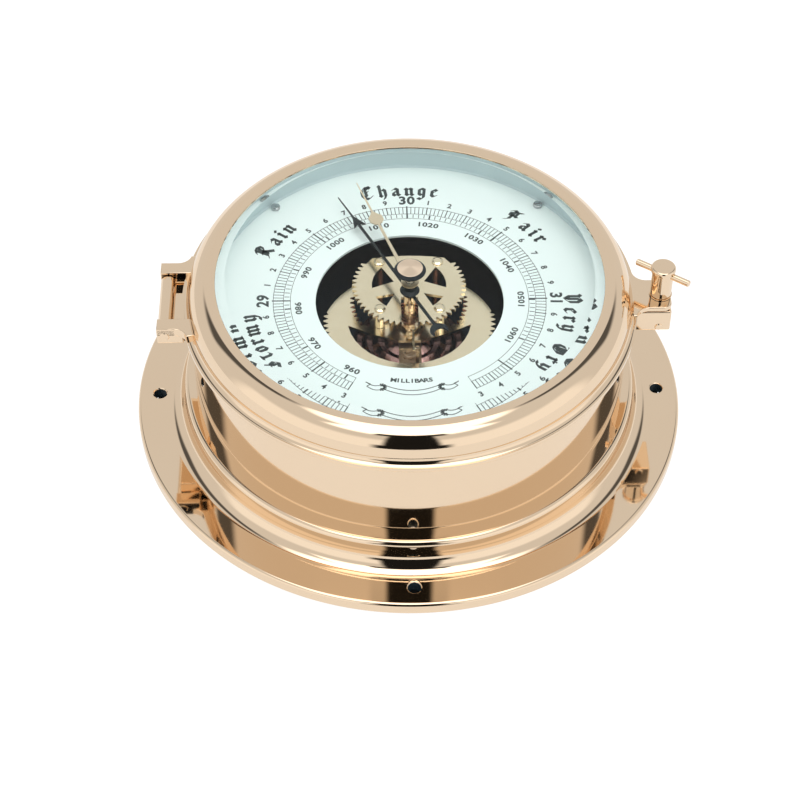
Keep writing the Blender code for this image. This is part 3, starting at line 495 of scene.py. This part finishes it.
def build_bezel():
    crown = RING_TOP - 0.3
    shoulder = arc(RING_R - RING_ROUND_R, crown - RING_ROUND_R, RING_ROUND_R, 78, 0, 24)
    corners = [(OPENING_R, RING_TOP - 1.1, 0.15)] + [(x, z, 0.0) for x, z in shoulder]
    corners += cove(RING_R, COVE_FOOT_Z, COVE_R)
    corners += [(BEAD_R, COVE_FOOT_Z, 0.0), (BEAD_R, BEZEL_Z, 0.3), (SPIGOT_R + 0.6, BEZEL_Z, 0.2),
                (SPIGOT_R + 0.6, 57.9, 0.0), (SEAT_R, 58.3, 0.0), (SEAT_R, GLASS_Z - 0.3, 0.0),
                (GLASS_BORE_R, GLASS_Z - 0.3, 0.0), (GLASS_BORE_R, GLASS_Z + RIM_T + 0.5, 0.0),
                (OPENING_R, LIP_Z, 0.0)]
    ring = turned("bezel_shell", rounded(corners, 9), BRASS, "bezel")
    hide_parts("bezel_ring")
    ear_in, ear_out = EAR_Y
    flare = flared_tab(ear_out, -EAR_END_X, 5.0)
    inner_x = math.sqrt((BEAD_R - 3.0) ** 2 - ear_in ** 2)
    for side, label in ((1, "far"), (-1, "near")):
        outline = [(-x, side * y) for x, y in flare]
        outline += [(-inner_x, side * ear_in), (EAR_END_X, side * ear_in)]
        plate(f"hinge_ear_{label}", [outline], BEZEL_Z + 0.1, BEAD_TOP - 0.1, BRASS, "bezel", 0.3)
        ends = sorted((side * ear_in, side * ear_out))
        block(f"hinge_ear_foot_{label}", (EAR_END_X, ends[0], EAR_FOOT_Z),
              (-DRUM_R - 1.6, ends[1], BEAD_TOP - 0.6), BRASS, "bezel", 0.35)
    half = flared_tab(TAB_HALF, TAB_END_X - 3, 5.0)
    outline = arc(TAB_END_X - 3, TAB_HALF - 3, 3, 0, 90, 10) + half[1:]
    outline += [(x, -y) for x, y in reversed(outline)]
    plate("clamp_tab", [outline], BEZEL_Z + 0.1, TAB_TOP, BRASS, "bezel", 0.35)


def build_glass():
    rim = GLASS_Z + RIM_T
    corners = [(SPINDLE_HOLE_R, GLASS_TOP, 0.0), (BEVEL_R, GLASS_TOP, 0.0), (BEVEL_FOOT_R, rim, 0.0),
               (GLASS_R, rim, 0.2), (GLASS_R, GLASS_Z, 0.2), (SPINDLE_HOLE_R, GLASS_Z, 0.0)]
    pane = turned("bevelled_glass", rounded(corners), GLASS, "bezel", angle=3)
    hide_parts("glass")


# ---------------------------------------------------------------- small turned parts

def build_hinge_pin():
    pin = rod("hinge_pin_turned", 1.9, (HINGE_X, -17.8, HINGE_Z), (HINGE_X, 17.8, HINGE_Z), BRASS,
              "case", 0.3)
    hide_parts("hinge_pin")
    cross = rod("clamp_lug_pin_turned", 1.5, (CLAMP_X - 0.5, -7.9, 46.4), (CLAMP_X - 0.5, 7.9, 46.4),
                BRASS, "case", 0.3)
    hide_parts("clamp_lug_pin")


def build_clamp():
    corners = [(0, POST_TOP, 0), (4.6, POST_TOP - 0.2, 0.9), (4.6, POST_TOP - 2.2, 0.3),
               (4.0, POST_TOP - 2.6, 0.2), (4.0, 57.1, 0.4), (2.0, 57.1, 0), (2.0, 49.0, 0.2),
               (0, 48.6, 0)]
    post = turned("clamp_post", rounded(corners), BRASS, "clamp", at=(CLAMP_X, 0, 0), segments=ROUND)
    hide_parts("clamp_screw")
    turn = math.radians(TEE_ANGLE)
    reach = Vector((math.cos(turn), math.sin(turn), 0)) * TEE_LENGTH / 2
    middle = Vector((CLAMP_X, 0, TEE_Z))
    bar = rod("tee_bar_turned", 1.25, middle - reach, middle + reach, BRASS, "clamp", 0.3)
    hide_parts("clamp_tee_bar")


def build_knob():
    """A knob with a bright turned top; its flare and neck are black as painted shade and painted dark
    reflection under the top.
    """
    corners = [(0, KNOB_TOP, 0), (4.7, KNOB_TOP - 0.55, 0.3), (6.0, KNOB_TOP - 1.7, 0.3),
               (5.7, KNOB_TOP - 2.1, 0.2), (3.7, KNOB_TOP - 2.5, 0.3), (3.6, GLASS_TOP + 0.1, 0.1),
               (0, GLASS_TOP + 0.1, 0)]
    knob = turned("knob_turned", rounded(corners), TURNED_BRASS, "set_hand", segments=ROUND)
    knob.data.materials.append(LACQUER_AND_SHADE)
    # Faces on the flare and the neck take the black material as painted shade and reflection.
    for face in knob.data.polygons:
        centre = face.center / MM
        if math.hypot(centre.x, centre.y) > 4.75 or centre.z < KNOB_TOP - 1.9:
            face.material_index = 1
    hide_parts("set_hand_knob")


def build_collet():
    corners = [(0, 58.6, 0), (2.2, 58.3, 1.0), (4.2, 57.1, 0.2), (1.3, 57.1, 0), (1.3, 55.6, 0),
               (0, 55.6, 0)]
    cap = turned("pointer_cap", rounded(corners), LACQUER_AND_SHADE, "pointer", segments=ROUND)
    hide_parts("pointer_collet")


def build_screws():
    """Slotted cheese heads for the four dial screws."""
    for index in range(4):
        node = f"dial_screw_{index + 1}"
        first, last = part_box(node)
        x, y = (first[0] + last[0]) / 2 / MM, (first[1] + last[1]) / 2 / MM
        top = last[2] / MM
        corners = [(0, top, 0), (1.8, top, 0.35), (1.8, top - 1.1, 0), (1.0, top - 1.1, 0), (1.0, 49.0, 0),
                   (0, 49.0, 0)]
        head = turned(f"dial_screw_head_{index + 1}", rounded(corners), STEEL, "case", at=(x, y, 0),
                      segments=SMALL)
        slot = block("slot_cutter", (-3, -0.28, top - 0.45), (3, 0.28, top + 1), STEEL, None, 0.02)
        slot.location = (x * MM, y * MM, 0)
        slot.rotation_euler.z = math.radians(35 + 50 * index)
        cut_away(head, slot)
        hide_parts(node)


# ---------------------------------------------------------------- dial

def build_dial():
    plate_corners = [(WINDOW_R, DIAL_Z, 0.15), (DIAL_R, DIAL_Z, 0), (DIAL_R, DIAL_Z - 1, 0),
                     (WINDOW_R, DIAL_Z - 1, 0)]
    face = turned("dial_face", rounded(plate_corners), ENAMEL, "case")
    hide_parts("dial_plate")
    top = high("dial_surround", 2)
    wall_corners = [(74.7, top, 0.4), (DIAL_R, top, 0.1), (DIAL_R, DIAL_Z + 0.05, 0),
                    (74.0, DIAL_Z + 0.05, 0), (74.7, DIAL_Z + 0.8, 0.6)]
    # The wall takes the grey-blue painted shade colour.
    wall = turned("dial_wall", rounded(wall_corners), WALL_PAINTED_SHADE, "case")
    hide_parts("dial_surround")


class Print:
    """Ink shapes on the dial, all gathered in one thin mesh."""

    def __init__(self):
        self.mesh = bmesh.new()

    def prism(self, outline):
        """A thin slab of ink over an outline of (x, y) points."""
        bottom, top = (DIAL_Z - 0.02) * MM, (DIAL_Z + 0.03) * MM
        lower = [self.mesh.verts.new((x * MM, y * MM, bottom)) for x, y in outline]
        upper = [self.mesh.verts.new((x * MM, y * MM, top)) for x, y in outline]
        count = len(outline)
        self.mesh.faces.new(upper)
        self.mesh.faces.new(list(reversed(lower)))
        for index in range(count):
            after = (index + 1) % count
            self.mesh.faces.new((lower[index], lower[after], upper[after], upper[index]))

    def line(self, start, end, width):
        start, end = Vector(start), Vector(end)
        across = (end - start).normalized().orthogonal() * width / 2
        self.prism([tuple(start - across), tuple(end - across), tuple(end + across),
                    tuple(start + across)])

    def path(self, points, width):
        for start, end in zip(points, points[1:]):
            self.line(start, end, width)

    def ring_arc(self, radius, width, first, last, steps):
        for step in range(steps):
            angles = [first + (last - first) * (step + share) / steps for share in (0, 1)]
            inner = [on_dial(radius - width / 2, angle) for angle in angles]
            outer = [on_dial(radius + width / 2, angle) for angle in angles]
            self.prism([inner[0], outer[0], outer[1], inner[1]])

    def tick(self, angle, inner, outer, width):
        self.line(on_dial(inner, angle), on_dial(outer, angle), width)

    def glyph(self, mesh, place):
        """A glyph mesh in millimetres, laid on the dial by a placement matrix."""
        copy = mesh.copy()
        copy.transform(place)
        self.mesh.from_mesh(copy)
        bpy.data.meshes.remove(copy)


GLYPHS = {}


def glyph_mesh(letter, height):
    """A font character as a thin solid, in millimetres, centred on its width with its foot at 0."""
    key = (letter, height)
    if key not in GLYPHS:
        curve = bpy.data.curves.new("glyph", "FONT")
        curve.body = letter
        curve.size = height / 0.73
        curve.align_x = "CENTER"
        curve.extrude = 0.025
        curve.offset = 0.045 * height
        curve.resolution_u = 3
        guide = bpy.data.objects.new("glyph", curve)
        bpy.context.scene.collection.objects.link(guide)
        bpy.context.view_layer.update()
        mesh = bpy.data.meshes.new_from_object(guide.evaluated_get(bpy.context.evaluated_depsgraph_get()))
        bpy.data.objects.remove(guide, do_unlink=True)
        clean(mesh)
        GLYPHS[key] = mesh
    return GLYPHS[key]


def dial_placement(radius, angle, foot, flipped):
    """Places a glyph at a radius and angle, its foot inwards, or outwards if it is flipped."""
    x, y = on_dial(radius, angle)
    turn = math.radians(-angle + (180 if flipped else 0))
    sink = Matrix.Translation((0, foot, 0))
    spin = Matrix.Rotation(turn, 4, "Z")
    return (Matrix.Diagonal((MM, MM, MM, 1)) @ Matrix.Translation((x, y, DIAL_Z + 0.005)) @ spin @ sink)


def write_label(ink, text, radius, angle, height, spacing, flipped, widen=1.0):
    """Digits along the dial's circle, centred on an angle."""
    step = math.degrees(spacing / radius) * (-1 if flipped else 1)
    start = angle - step * (len(text) - 1) / 2
    for index, letter in enumerate(text):
        place = dial_placement(radius, start + step * index, -height / 2, flipped)
        place = place @ Matrix.Diagonal((widen, 1, 1, 1))
        ink.glyph(glyph_mesh(letter, height), place)


# Skeletons of the blackletter characters, in x-heights. A broad slanted nib follows them.
MINIM = [[(-0.12, 0.90), (0.05, 0.74)], [(0, 0.84), (0, 0.16)], [(-0.05, 0.22), (0.14, 0.05)]]


def shifted(strokes, offset):
    return [[(x + offset, y) for x, y in stroke] for stroke in strokes]


LETTERS = {
    "a": (0.80, [[(0.12, 0.78), (0.28, 0.94), (0.52, 0.80), (0.52, 0.18), (0.68, 0.06)],
                 [(0.50, 0.58), (0.18, 0.46), (0.14, 0.20), (0.30, 0.06), (0.50, 0.20)]]),
    "e": (0.66, [[(0.14, 0.78), (0.14, 0.20), (0.32, 0.05), (0.52, 0.18)],
                 [(0.14, 0.80), (0.32, 0.95), (0.50, 0.78), (0.20, 0.50)]]),
    "g": (0.80, [[(0.14, 0.80), (0.14, 0.28), (0.32, 0.12), (0.52, 0.24)],
                 [(0.10, 0.82), (0.30, 0.95), (0.54, 0.82), (0.54, -0.16), (0.34, -0.40), (0.08, -0.28)]]),
    "h": (0.82, [[(0.10, 1.46), (0.18, 1.34), (0.18, 0.16)], [(0.12, 0.22), (0.30, 0.05)],
                 [(0.20, 0.76), (0.44, 0.94), (0.60, 0.78), (0.60, 0.10), (0.44, -0.26)]]),
    "i": (0.42, shifted(MINIM, 0.16) + [[(0.10, 1.30), (0.22, 1.18)]]),
    "m": (1.16, shifted(MINIM, 0.14) + shifted(MINIM, 0.54) + shifted(MINIM, 0.94)
          + [[(0.18, 0.76), (0.42, 0.92)], [(0.58, 0.76), (0.82, 0.92)]]),
    "n": (0.80, shifted(MINIM, 0.16) + shifted(MINIM, 0.58) + [[(0.20, 0.76), (0.46, 0.92)]]),
    "o": (0.70, [[(0.14, 0.78), (0.14, 0.24), (0.32, 0.06), (0.52, 0.22), (0.52, 0.76), (0.34, 0.94),
                  (0.14, 0.78)]]),
    "r": (0.60, shifted(MINIM, 0.16) + [[(0.20, 0.76), (0.36, 0.92)], [(0.36, 0.92), (0.54, 0.76)]]),
    "t": (0.54, [[(0.20, 1.20), (0.20, 0.20), (0.36, 0.05), (0.48, 0.14)], [(0.02, 0.88), (0.44, 0.88)]]),
    "y": (0.80, [[(0.06, 0.92), (0.16, 0.80), (0.16, 0.26), (0.34, 0.08), (0.52, 0.22)],
                 [(0.46, 0.94), (0.58, 0.80), (0.58, 0.02), (0.40, -0.34), (0.14, -0.30)]]),
    "C": (1.10, [[(0.74, 1.26), (0.46, 1.48), (0.16, 1.14), (0.12, 0.56), (0.30, 0.14), (0.58, 0.03),
                  (0.90, 0.26)], [(0.46, 1.30), (0.46, 0.36)], [(0.50, 1.44), (0.80, 1.50), (0.92, 1.30)],
                 [(0.46, 0.80), (0.66, 0.92)]]),
    "D": (1.16, [[(0.16, 0.96), (0.10, 0.50), (0.30, 0.10), (0.66, 0.08), (0.94, 0.46), (0.92, 1.06),
                  (0.60, 1.42), (0.14, 1.28)], [(0.44, 1.30), (0.44, 0.22)], [(0.66, 1.20), (0.66, 0.30)]]),
    "F": (1.00, [[(0.02, 1.22), (0.22, 1.46), (0.52, 1.34), (0.94, 1.50)],
                 [(0.36, 1.32), (0.36, 0.30), (0.12, 0.06)], [(0.18, 0.74), (0.62, 0.86), (0.82, 0.76)],
                 [(0.64, 1.34), (0.64, 0.94)], [(0.10, 1.10), (0.16, 0.80)]]),
    "R": (1.12, [[(0.28, 1.34), (0.28, 0.20), (0.06, 0.06)], [(0.04, 1.16), (0.18, 1.42), (0.52, 1.48),
                 (0.84, 1.26), (0.80, 0.94), (0.46, 0.78)], [(0.48, 0.78), (0.74, 0.36), (0.98, 0.06)],
                 [(0.52, 1.34), (0.52, 0.30)], [(0.16, 0.76), (0.46, 0.80)]]),
    "S": (1.04, [[(0.88, 1.32), (0.56, 1.50), (0.20, 1.26), (0.28, 0.94), (0.72, 0.66), (0.82, 0.34),
                  (0.52, 0.04), (0.08, 0.20)], [(0.52, 1.30), (0.48, 0.98)], [(0.50, 0.62), (0.50, 0.20)]]),
    "V": (1.10, [[(0.04, 1.40), (0.20, 1.22), (0.20, 0.44), (0.50, 0.04), (0.86, 0.40), (0.88, 1.10),
                  (0.62, 1.46), (0.42, 1.32)], [(0.50, 1.26), (0.50, 0.22)]]),
}

NIB_WIDTH = 0.31
NIB_EDGE = 0.045
NIB_ANGLE = 42.0


def hull(points):
    """The convex outline around a few points, anticlockwise."""
    ordered = sorted(set((round(x, 6), round(y, 6)) for x, y in points))

    def chain(source):
        line = []
        for point in source:
            while len(line) > 1:
                (ax, ay), (bx, by) = line[-2], line[-1]
                if (bx - ax) * (point[1] - ay) - (by - ay) * (point[0] - ax) > 1e-9:
                    break
                line.pop()
            line.append(point)
        return line[:-1]

    return chain(ordered) + chain(reversed(ordered))


def nib_corners():
    turn = math.radians(NIB_ANGLE)
    along = Vector((math.cos(turn), math.sin(turn))) * NIB_WIDTH / 2
    across = Vector((-math.sin(turn), math.cos(turn))) * NIB_EDGE / 2
    return [along + across, along - across, -along - across, -along + across]


def write_word(ink, word, first, last, baseline, x_height):
    """A blackletter word on the dial's circle between two angles, its feet inwards."""
    widths = [LETTERS[letter][0] for letter in word]
    stretch = math.radians(last - first) * baseline / (sum(widths) * x_height)
    nib = nib_corners()
    travelled = 0.0
    for letter, width in zip(word, widths):
        middle = travelled + width / 2
        angle = first + math.degrees(middle * stretch * x_height / baseline)
        spin = math.radians(-angle)
        origin = on_dial(baseline, angle)
        for stroke in LETTERS[letter][1]:
            for start, end in zip(stroke, stroke[1:]):
                corners = [Vector(point) + corner for point in (start, end) for corner in nib]
                outline = []
                for x, y in hull(corners):
                    x, y = (x - width / 2) * x_height, y * x_height
                    outline.append((origin[0] + x * math.cos(spin) - y * math.sin(spin),
                                    origin[1] + x * math.sin(spin) + y * math.cos(spin)))
                ink.prism(outline)
        travelled += width


# The inch scale has 30 at the top. Angles are for one inch and one millibar.
INCH_ANGLE = 90.0
SCALE_START = 28.3
SCALE_END = 31.7
MILLIBAR_ANGLE = INCH_ANGLE * 0.02953
MILLIBAR_TOP = 1015.9
OUTER_RULE_R = 50.9
MIDDLE_RULE_R = 47.1
INNER_RULE_R = 44.5
SMALL_DIGIT = 2.4
LARGE_DIGIT = 4.5
RIBBON_LINE = 0.32
WORD_FOOT_R = 57.6
WORD_X_HEIGHT = 4.6


def print_inch_scale(ink):
    first = (SCALE_START - 30) * INCH_ANGLE
    last = (SCALE_END - 30) * INCH_ANGLE
    for radius, width in ((OUTER_RULE_R, 0.2), (MIDDLE_RULE_R, 0.18), (INNER_RULE_R, 0.18)):
        ink.ring_arc(radius, width, first, last, 150)
    for angle in (first, last):
        ink.tick(angle, INNER_RULE_R, OUTER_RULE_R, 0.16)
    count = round((SCALE_END - SCALE_START) / 0.02)
    for index in range(count + 1):
        angle = first + index * 0.02 * INCH_ANGLE
        hundredths = round(SCALE_START * 100) + index * 2
        if hundredths % 50 == 0:
            ink.tick(angle, INNER_RULE_R, OUTER_RULE_R + 0.5, 0.55)
        elif hundredths % 10 == 0:
            ink.tick(angle, MIDDLE_RULE_R, OUTER_RULE_R + 0.3, 0.38)
        else:
            ink.tick(angle, MIDDLE_RULE_R, OUTER_RULE_R, 0.26)
    for tenth in range(round(SCALE_START * 10), round(SCALE_END * 10) + 1):
        angle = (tenth / 10 - 30) * INCH_ANGLE
        digit = tenth % 10 if tenth < 310 else -tenth % 10
        if digit == 0:
            write_label(ink, str(tenth // 10), 55.0, angle, LARGE_DIGIT, 3.3, False)
        else:
            write_label(ink, str(digit), 54.0, angle, SMALL_DIGIT, 1.0, abs(angle) > 91)


def print_millibar_scale(ink):
    for millibar in range(960, 1061):
        angle = (millibar - MILLIBAR_TOP) * MILLIBAR_ANGLE
        long_tick = millibar % 10 == 0
        ink.tick(angle, INNER_RULE_R if long_tick else 44.9, 46.8, 0.6 if long_tick else 0.28)
        if long_tick:
            write_label(ink, str(millibar), 41.6, angle, SMALL_DIGIT, 2.15, abs(angle) > 90, 1.2)


def print_ribbon(ink):
    """A blank ribbon with rolled ends under the unit's name."""
    write_label(ink, "MILLIBARS", 41.4, 180, 1.9, 1.68, True, 1.2)
    for edge_y in (-43.3, -45.4):
        points = []
        for step in range(13):
            share = step / 6 - 1
            points.append((share * 10.2, edge_y - 2.9 * (1 - share * share)))
        ink.path(points, RIBBON_LINE)
    for side in (-1, 1):
        ink.path([(x * side, y) for x, y in arc(11.0, -44.4, 1.2, 60, 300, 8)], 1.3)
        upper = [(side * (11.6 + 5.2 * step / 6), -43.5 - 0.9 * math.sin(math.pi * step / 6)
                  + 1.8 * step / 6) for step in range(7)]
        lower = [(x * 0.98, y - 2.1) for x, y in upper]
        notch = (side * 15.0, -42.9)
        for line in (upper, lower, [upper[-1], notch, lower[-1]]):
            ink.path(line, RIBBON_LINE)


def print_words(ink):
    for word, first, last in (("Change", -18.0, 12.5), ("Fair", 38.5, 60.0), ("Rain", -67.5, -46.5),
                              ("Very", 87.0, 108.0), ("Dry", 112.5, 129.0), ("Stormy", -126.5, -96.0)):
        write_word(ink, word, first, last, WORD_FOOT_R, WORD_X_HEIGHT)


def build_print():
    ink = Print()
    print_inch_scale(ink)
    print_millibar_scale(ink)
    print_ribbon(ink)
    print_words(ink)
    mesh = bpy.data.meshes.new("dial_print")
    bmesh.ops.recalc_face_normals(ink.mesh, faces=ink.mesh.faces)
    ink.mesh.to_mesh(mesh)
    ink.mesh.free()
    add_piece("dial_print", mesh, INK, "case")


# ---------------------------------------------------------------- carried-over nodes

def dress_nodes():
    looks = {
        PLATE_BRASS: ["upper_bridge_plate", "lower_bridge_plate", "drive_link", "sector_gear",
                      "rocker_bracket_left", "rocker_bracket_right", "hairspring_stud"],
        BRASS: ["clamp_washer", "glass_retaining_ring", "pointer_arbor"],
        PALE_BRASS: ["set_hand"],
        BRONZE: ["main_lever", "lever_screw"],
        CAPSULE: ["capsule_lower", "capsule_upper"],
        COPPER: ["hairspring"],
        STEEL: ["set_hand_spindle", "adjusting_screw", "rocker_shaft"],
        LACQUER_AND_SHADE: ["pointer"],
        DARK_PAINT_AND_SHADE: ["back_cover", "movement_tray"],
        RUBBER: ["glass_gasket"],
    }
    for index in range(4):
        looks[PLATE_BRASS] += [f"bridge_pillar_{index + 1}", f"plate_pillar_{index + 1}"]
    for index in range(3):
        looks[STEEL] += [f"tray_screw_{index + 1}", f"back_cover_screw_{index + 1}"]
    for material, nodes in looks.items():
        for node in nodes:
            data = NODES[node].data
            data.materials.clear()
            data.materials.append(material)


# ---------------------------------------------------------------- studio

CAMERA_AZIMUTH = -1.405
CAMERA_ELEVATION = 47.382
CAMERA_ROLL = 0.4105
CAMERA_DISTANCE = 854.52
CAMERA_TARGET = (-3.341, -0.797)
CAMERA_LENS = 98.117


def camera_axes():
    azimuth = math.radians(CAMERA_AZIMUTH)
    elevation = math.radians(CAMERA_ELEVATION)
    back = Vector((math.sin(azimuth) * math.cos(elevation), -math.cos(azimuth) * math.cos(elevation),
                   math.sin(elevation)))
    right = (-back).cross(Vector((0, 0, 1))).normalized()
    up = right.cross(-back)
    roll = math.radians(CAMERA_ROLL)
    return (right * math.cos(roll) + up * math.sin(roll), up * math.cos(roll) - right * math.sin(roll),
            back)


def build_camera():
    right, up, back = camera_axes()
    azimuth = math.radians(CAMERA_AZIMUTH)
    sideways, height = CAMERA_TARGET
    target = Vector((sideways * math.cos(azimuth), sideways * math.sin(azimuth), height))
    data = bpy.data.cameras.new("camera")
    data.lens = CAMERA_LENS
    data.sensor_width = 36
    camera = bpy.data.objects.new("camera", data)
    turn = Matrix((right, up, back)).transposed().to_4x4()
    camera.matrix_world = Matrix.Translation((target + back * CAMERA_DISTANCE) * MM) @ turn
    bpy.context.scene.collection.objects.link(camera)
    bpy.context.scene.camera = camera


# The floor, in metres: half its width, its height and the radius of the painted shadow under the object.
FLOOR_HALF = 3.0
FLOOR_HEIGHT = -0.0005
SHADE_R = 0.098


def build_floor():
    """White paper with a painted shadow: dark and unlit where the object covers it."""
    material, nodes, links = new_material("floor_paper")
    shader = nodes["Principled BSDF"]
    shader.inputs["Roughness"].default_value = 0.9
    shader.inputs["Specular IOR Level"].default_value = 0.0
    shader.inputs["Emission Color"].default_value = (1, 1, 1, 1)
    place = nodes.new("ShaderNodeNewGeometry")
    reach = nodes.new("ShaderNodeVectorMath")
    reach.operation = "LENGTH"
    links.new(place.outputs["Position"], reach.inputs[0])
    outside_painted_shadow = nodes.new("ShaderNodeMath")
    outside_painted_shadow.operation = "GREATER_THAN"
    outside_painted_shadow.inputs[1].default_value = SHADE_R
    links.new(reach.outputs["Value"], outside_painted_shadow.inputs[0])
    path = nodes.new("ShaderNodeLightPath")
    glow = nodes.new("ShaderNodeMath")
    glow.operation = "MULTIPLY"
    links.new(map_range(nodes, links, path.outputs["Is Camera Ray"], 0.66, 0.85), glow.inputs[0])
    links.new(outside_painted_shadow.outputs["Value"], glow.inputs[1])
    links.new(glow.outputs["Value"], shader.inputs["Emission Strength"])
    # Inside the radius the paper is near black: painted shadow under the object.
    links.new(mixed_colour(nodes, links, outside_painted_shadow.outputs["Value"], (0.01, 0.01, 0.01),
                           (0.25, 0.25, 0.25)), shader.inputs["Base Color"])
    mesh = bpy.data.meshes.new("floor")
    corners = [(x * FLOOR_HALF, y * FLOOR_HALF, FLOOR_HEIGHT)
               for x, y in ((-1, -1), (1, -1), (1, 1), (-1, 1))]
    mesh.from_pydata(corners, [], [(0, 1, 2, 3)])
    add_piece("floor", mesh, material, None)


def build_key_light():
    """A wide soft light from above that the polished brass does not mirror."""
    data = bpy.data.lights.new("key", "SUN")
    data.energy = 0.9
    data.angle = math.radians(50)
    light = bpy.data.objects.new("key", data)
    light.rotation_euler = (math.radians(18), math.radians(12), 0)
    light.visible_glossy = False
    bpy.context.scene.collection.objects.link(light)


# The soft boxes and dark gaps around the object: azimuth from the front towards +X and its half width,
# elevation and its half height, softness of the edge, all in degrees, and the brightness.
STUDIO_WALL = 0.74
STUDIO_PATCHES = [
    (0.0, 80.0, 10.0, 20.0, 12.0, 1.05),
    (0.0, 50.0, 74.0, 12.0, 10.0, 2.2),
    (0.0, 180.0, 90.0, 17.0, 7.0, 2.0),
    (-130.0, 7.0, 50.0, 12.0, 9.0, 0.1),
    (130.0, 7.0, 50.0, 12.0, 9.0, 0.1),
    (0.0, 14.0, 2.0, 8.0, 6.0, 0.02),
    (0.0, 20.0, 58.0, 1.5, 5.0, 0.02),
    (0.0, 11.0, 28.0, 31.0, 4.0, 0.012),
]


def build_world():
    """Light that depends on direction. The camera itself sees plain white behind the object."""
    world = bpy.data.worlds.new("studio")
    world.use_nodes = True
    bpy.context.scene.world = world
    nodes, links = world.node_tree.nodes, world.node_tree.links

    def math_node(operation, *values):
        node = nodes.new("ShaderNodeMath")
        node.operation = operation
        for socket, value in zip(node.inputs, values):
            if isinstance(value, (int, float)):
                socket.default_value = value
            else:
                links.new(value, socket)
        return node.outputs["Value"]

    def window(angle, half, soft):
        """1 inside an angle range, falling to 0 over the softness."""
        node = nodes.new("ShaderNodeMapRange")
        node.interpolation_type = "SMOOTHSTEP"
        node.inputs["From Min"].default_value = math.radians(half + soft)
        node.inputs["From Max"].default_value = math.radians(half)
        links.new(math_node("ABSOLUTE", angle), node.inputs["Value"])
        return node.outputs["Result"]

    direction = nodes.new("ShaderNodeTexCoord")
    split = nodes.new("ShaderNodeSeparateXYZ")
    links.new(direction.outputs["Generated"], split.inputs["Vector"])
    azimuth = math_node("ARCTAN2", split.outputs["X"], math_node("MULTIPLY", split.outputs["Y"], -1.0))
    elevation = math_node("ARCSINE", split.outputs["Z"])
    level = STUDIO_WALL
    for patch_azimuth, half_width, patch_elevation, half_height, soft, brightness in STUDIO_PATCHES:
        around = math_node("WRAP", math_node("SUBTRACT", azimuth, math.radians(patch_azimuth)),
                           math.pi, -math.pi)
        above = math_node("SUBTRACT", elevation, math.radians(patch_elevation))
        mask = math_node("MULTIPLY", window(around, half_width, soft), window(above, half_height, soft))
        blend = nodes.new("ShaderNodeMix")
        links.new(mask, blend.inputs["Factor"])
        if isinstance(level, float):
            blend.inputs["A"].default_value = level
        else:
            links.new(level, blend.inputs["A"])
        blend.inputs["B"].default_value = brightness
        level = blend.outputs["Result"]
    path = nodes.new("ShaderNodeLightPath")
    seen = nodes.new("ShaderNodeMix")
    links.new(path.outputs["Is Camera Ray"], seen.inputs["Factor"])
    links.new(level, seen.inputs["A"])
    seen.inputs["B"].default_value = 1.0
    links.new(seen.outputs["Result"], nodes["Background"].inputs["Strength"])
    nodes["Background"].inputs["Color"].default_value = (1.0, 0.995, 0.985, 1)


def build_studio():
    build_world()
    build_floor()
    build_key_light()
    build_camera()
    bpy.context.scene.view_settings.view_transform = "Standard"


build_case()
build_bezel()
build_glass()
build_hinge_pin()
build_clamp()
build_knob()
build_collet()
build_screws()
build_dial()
build_print()
dress_nodes()
build_studio()
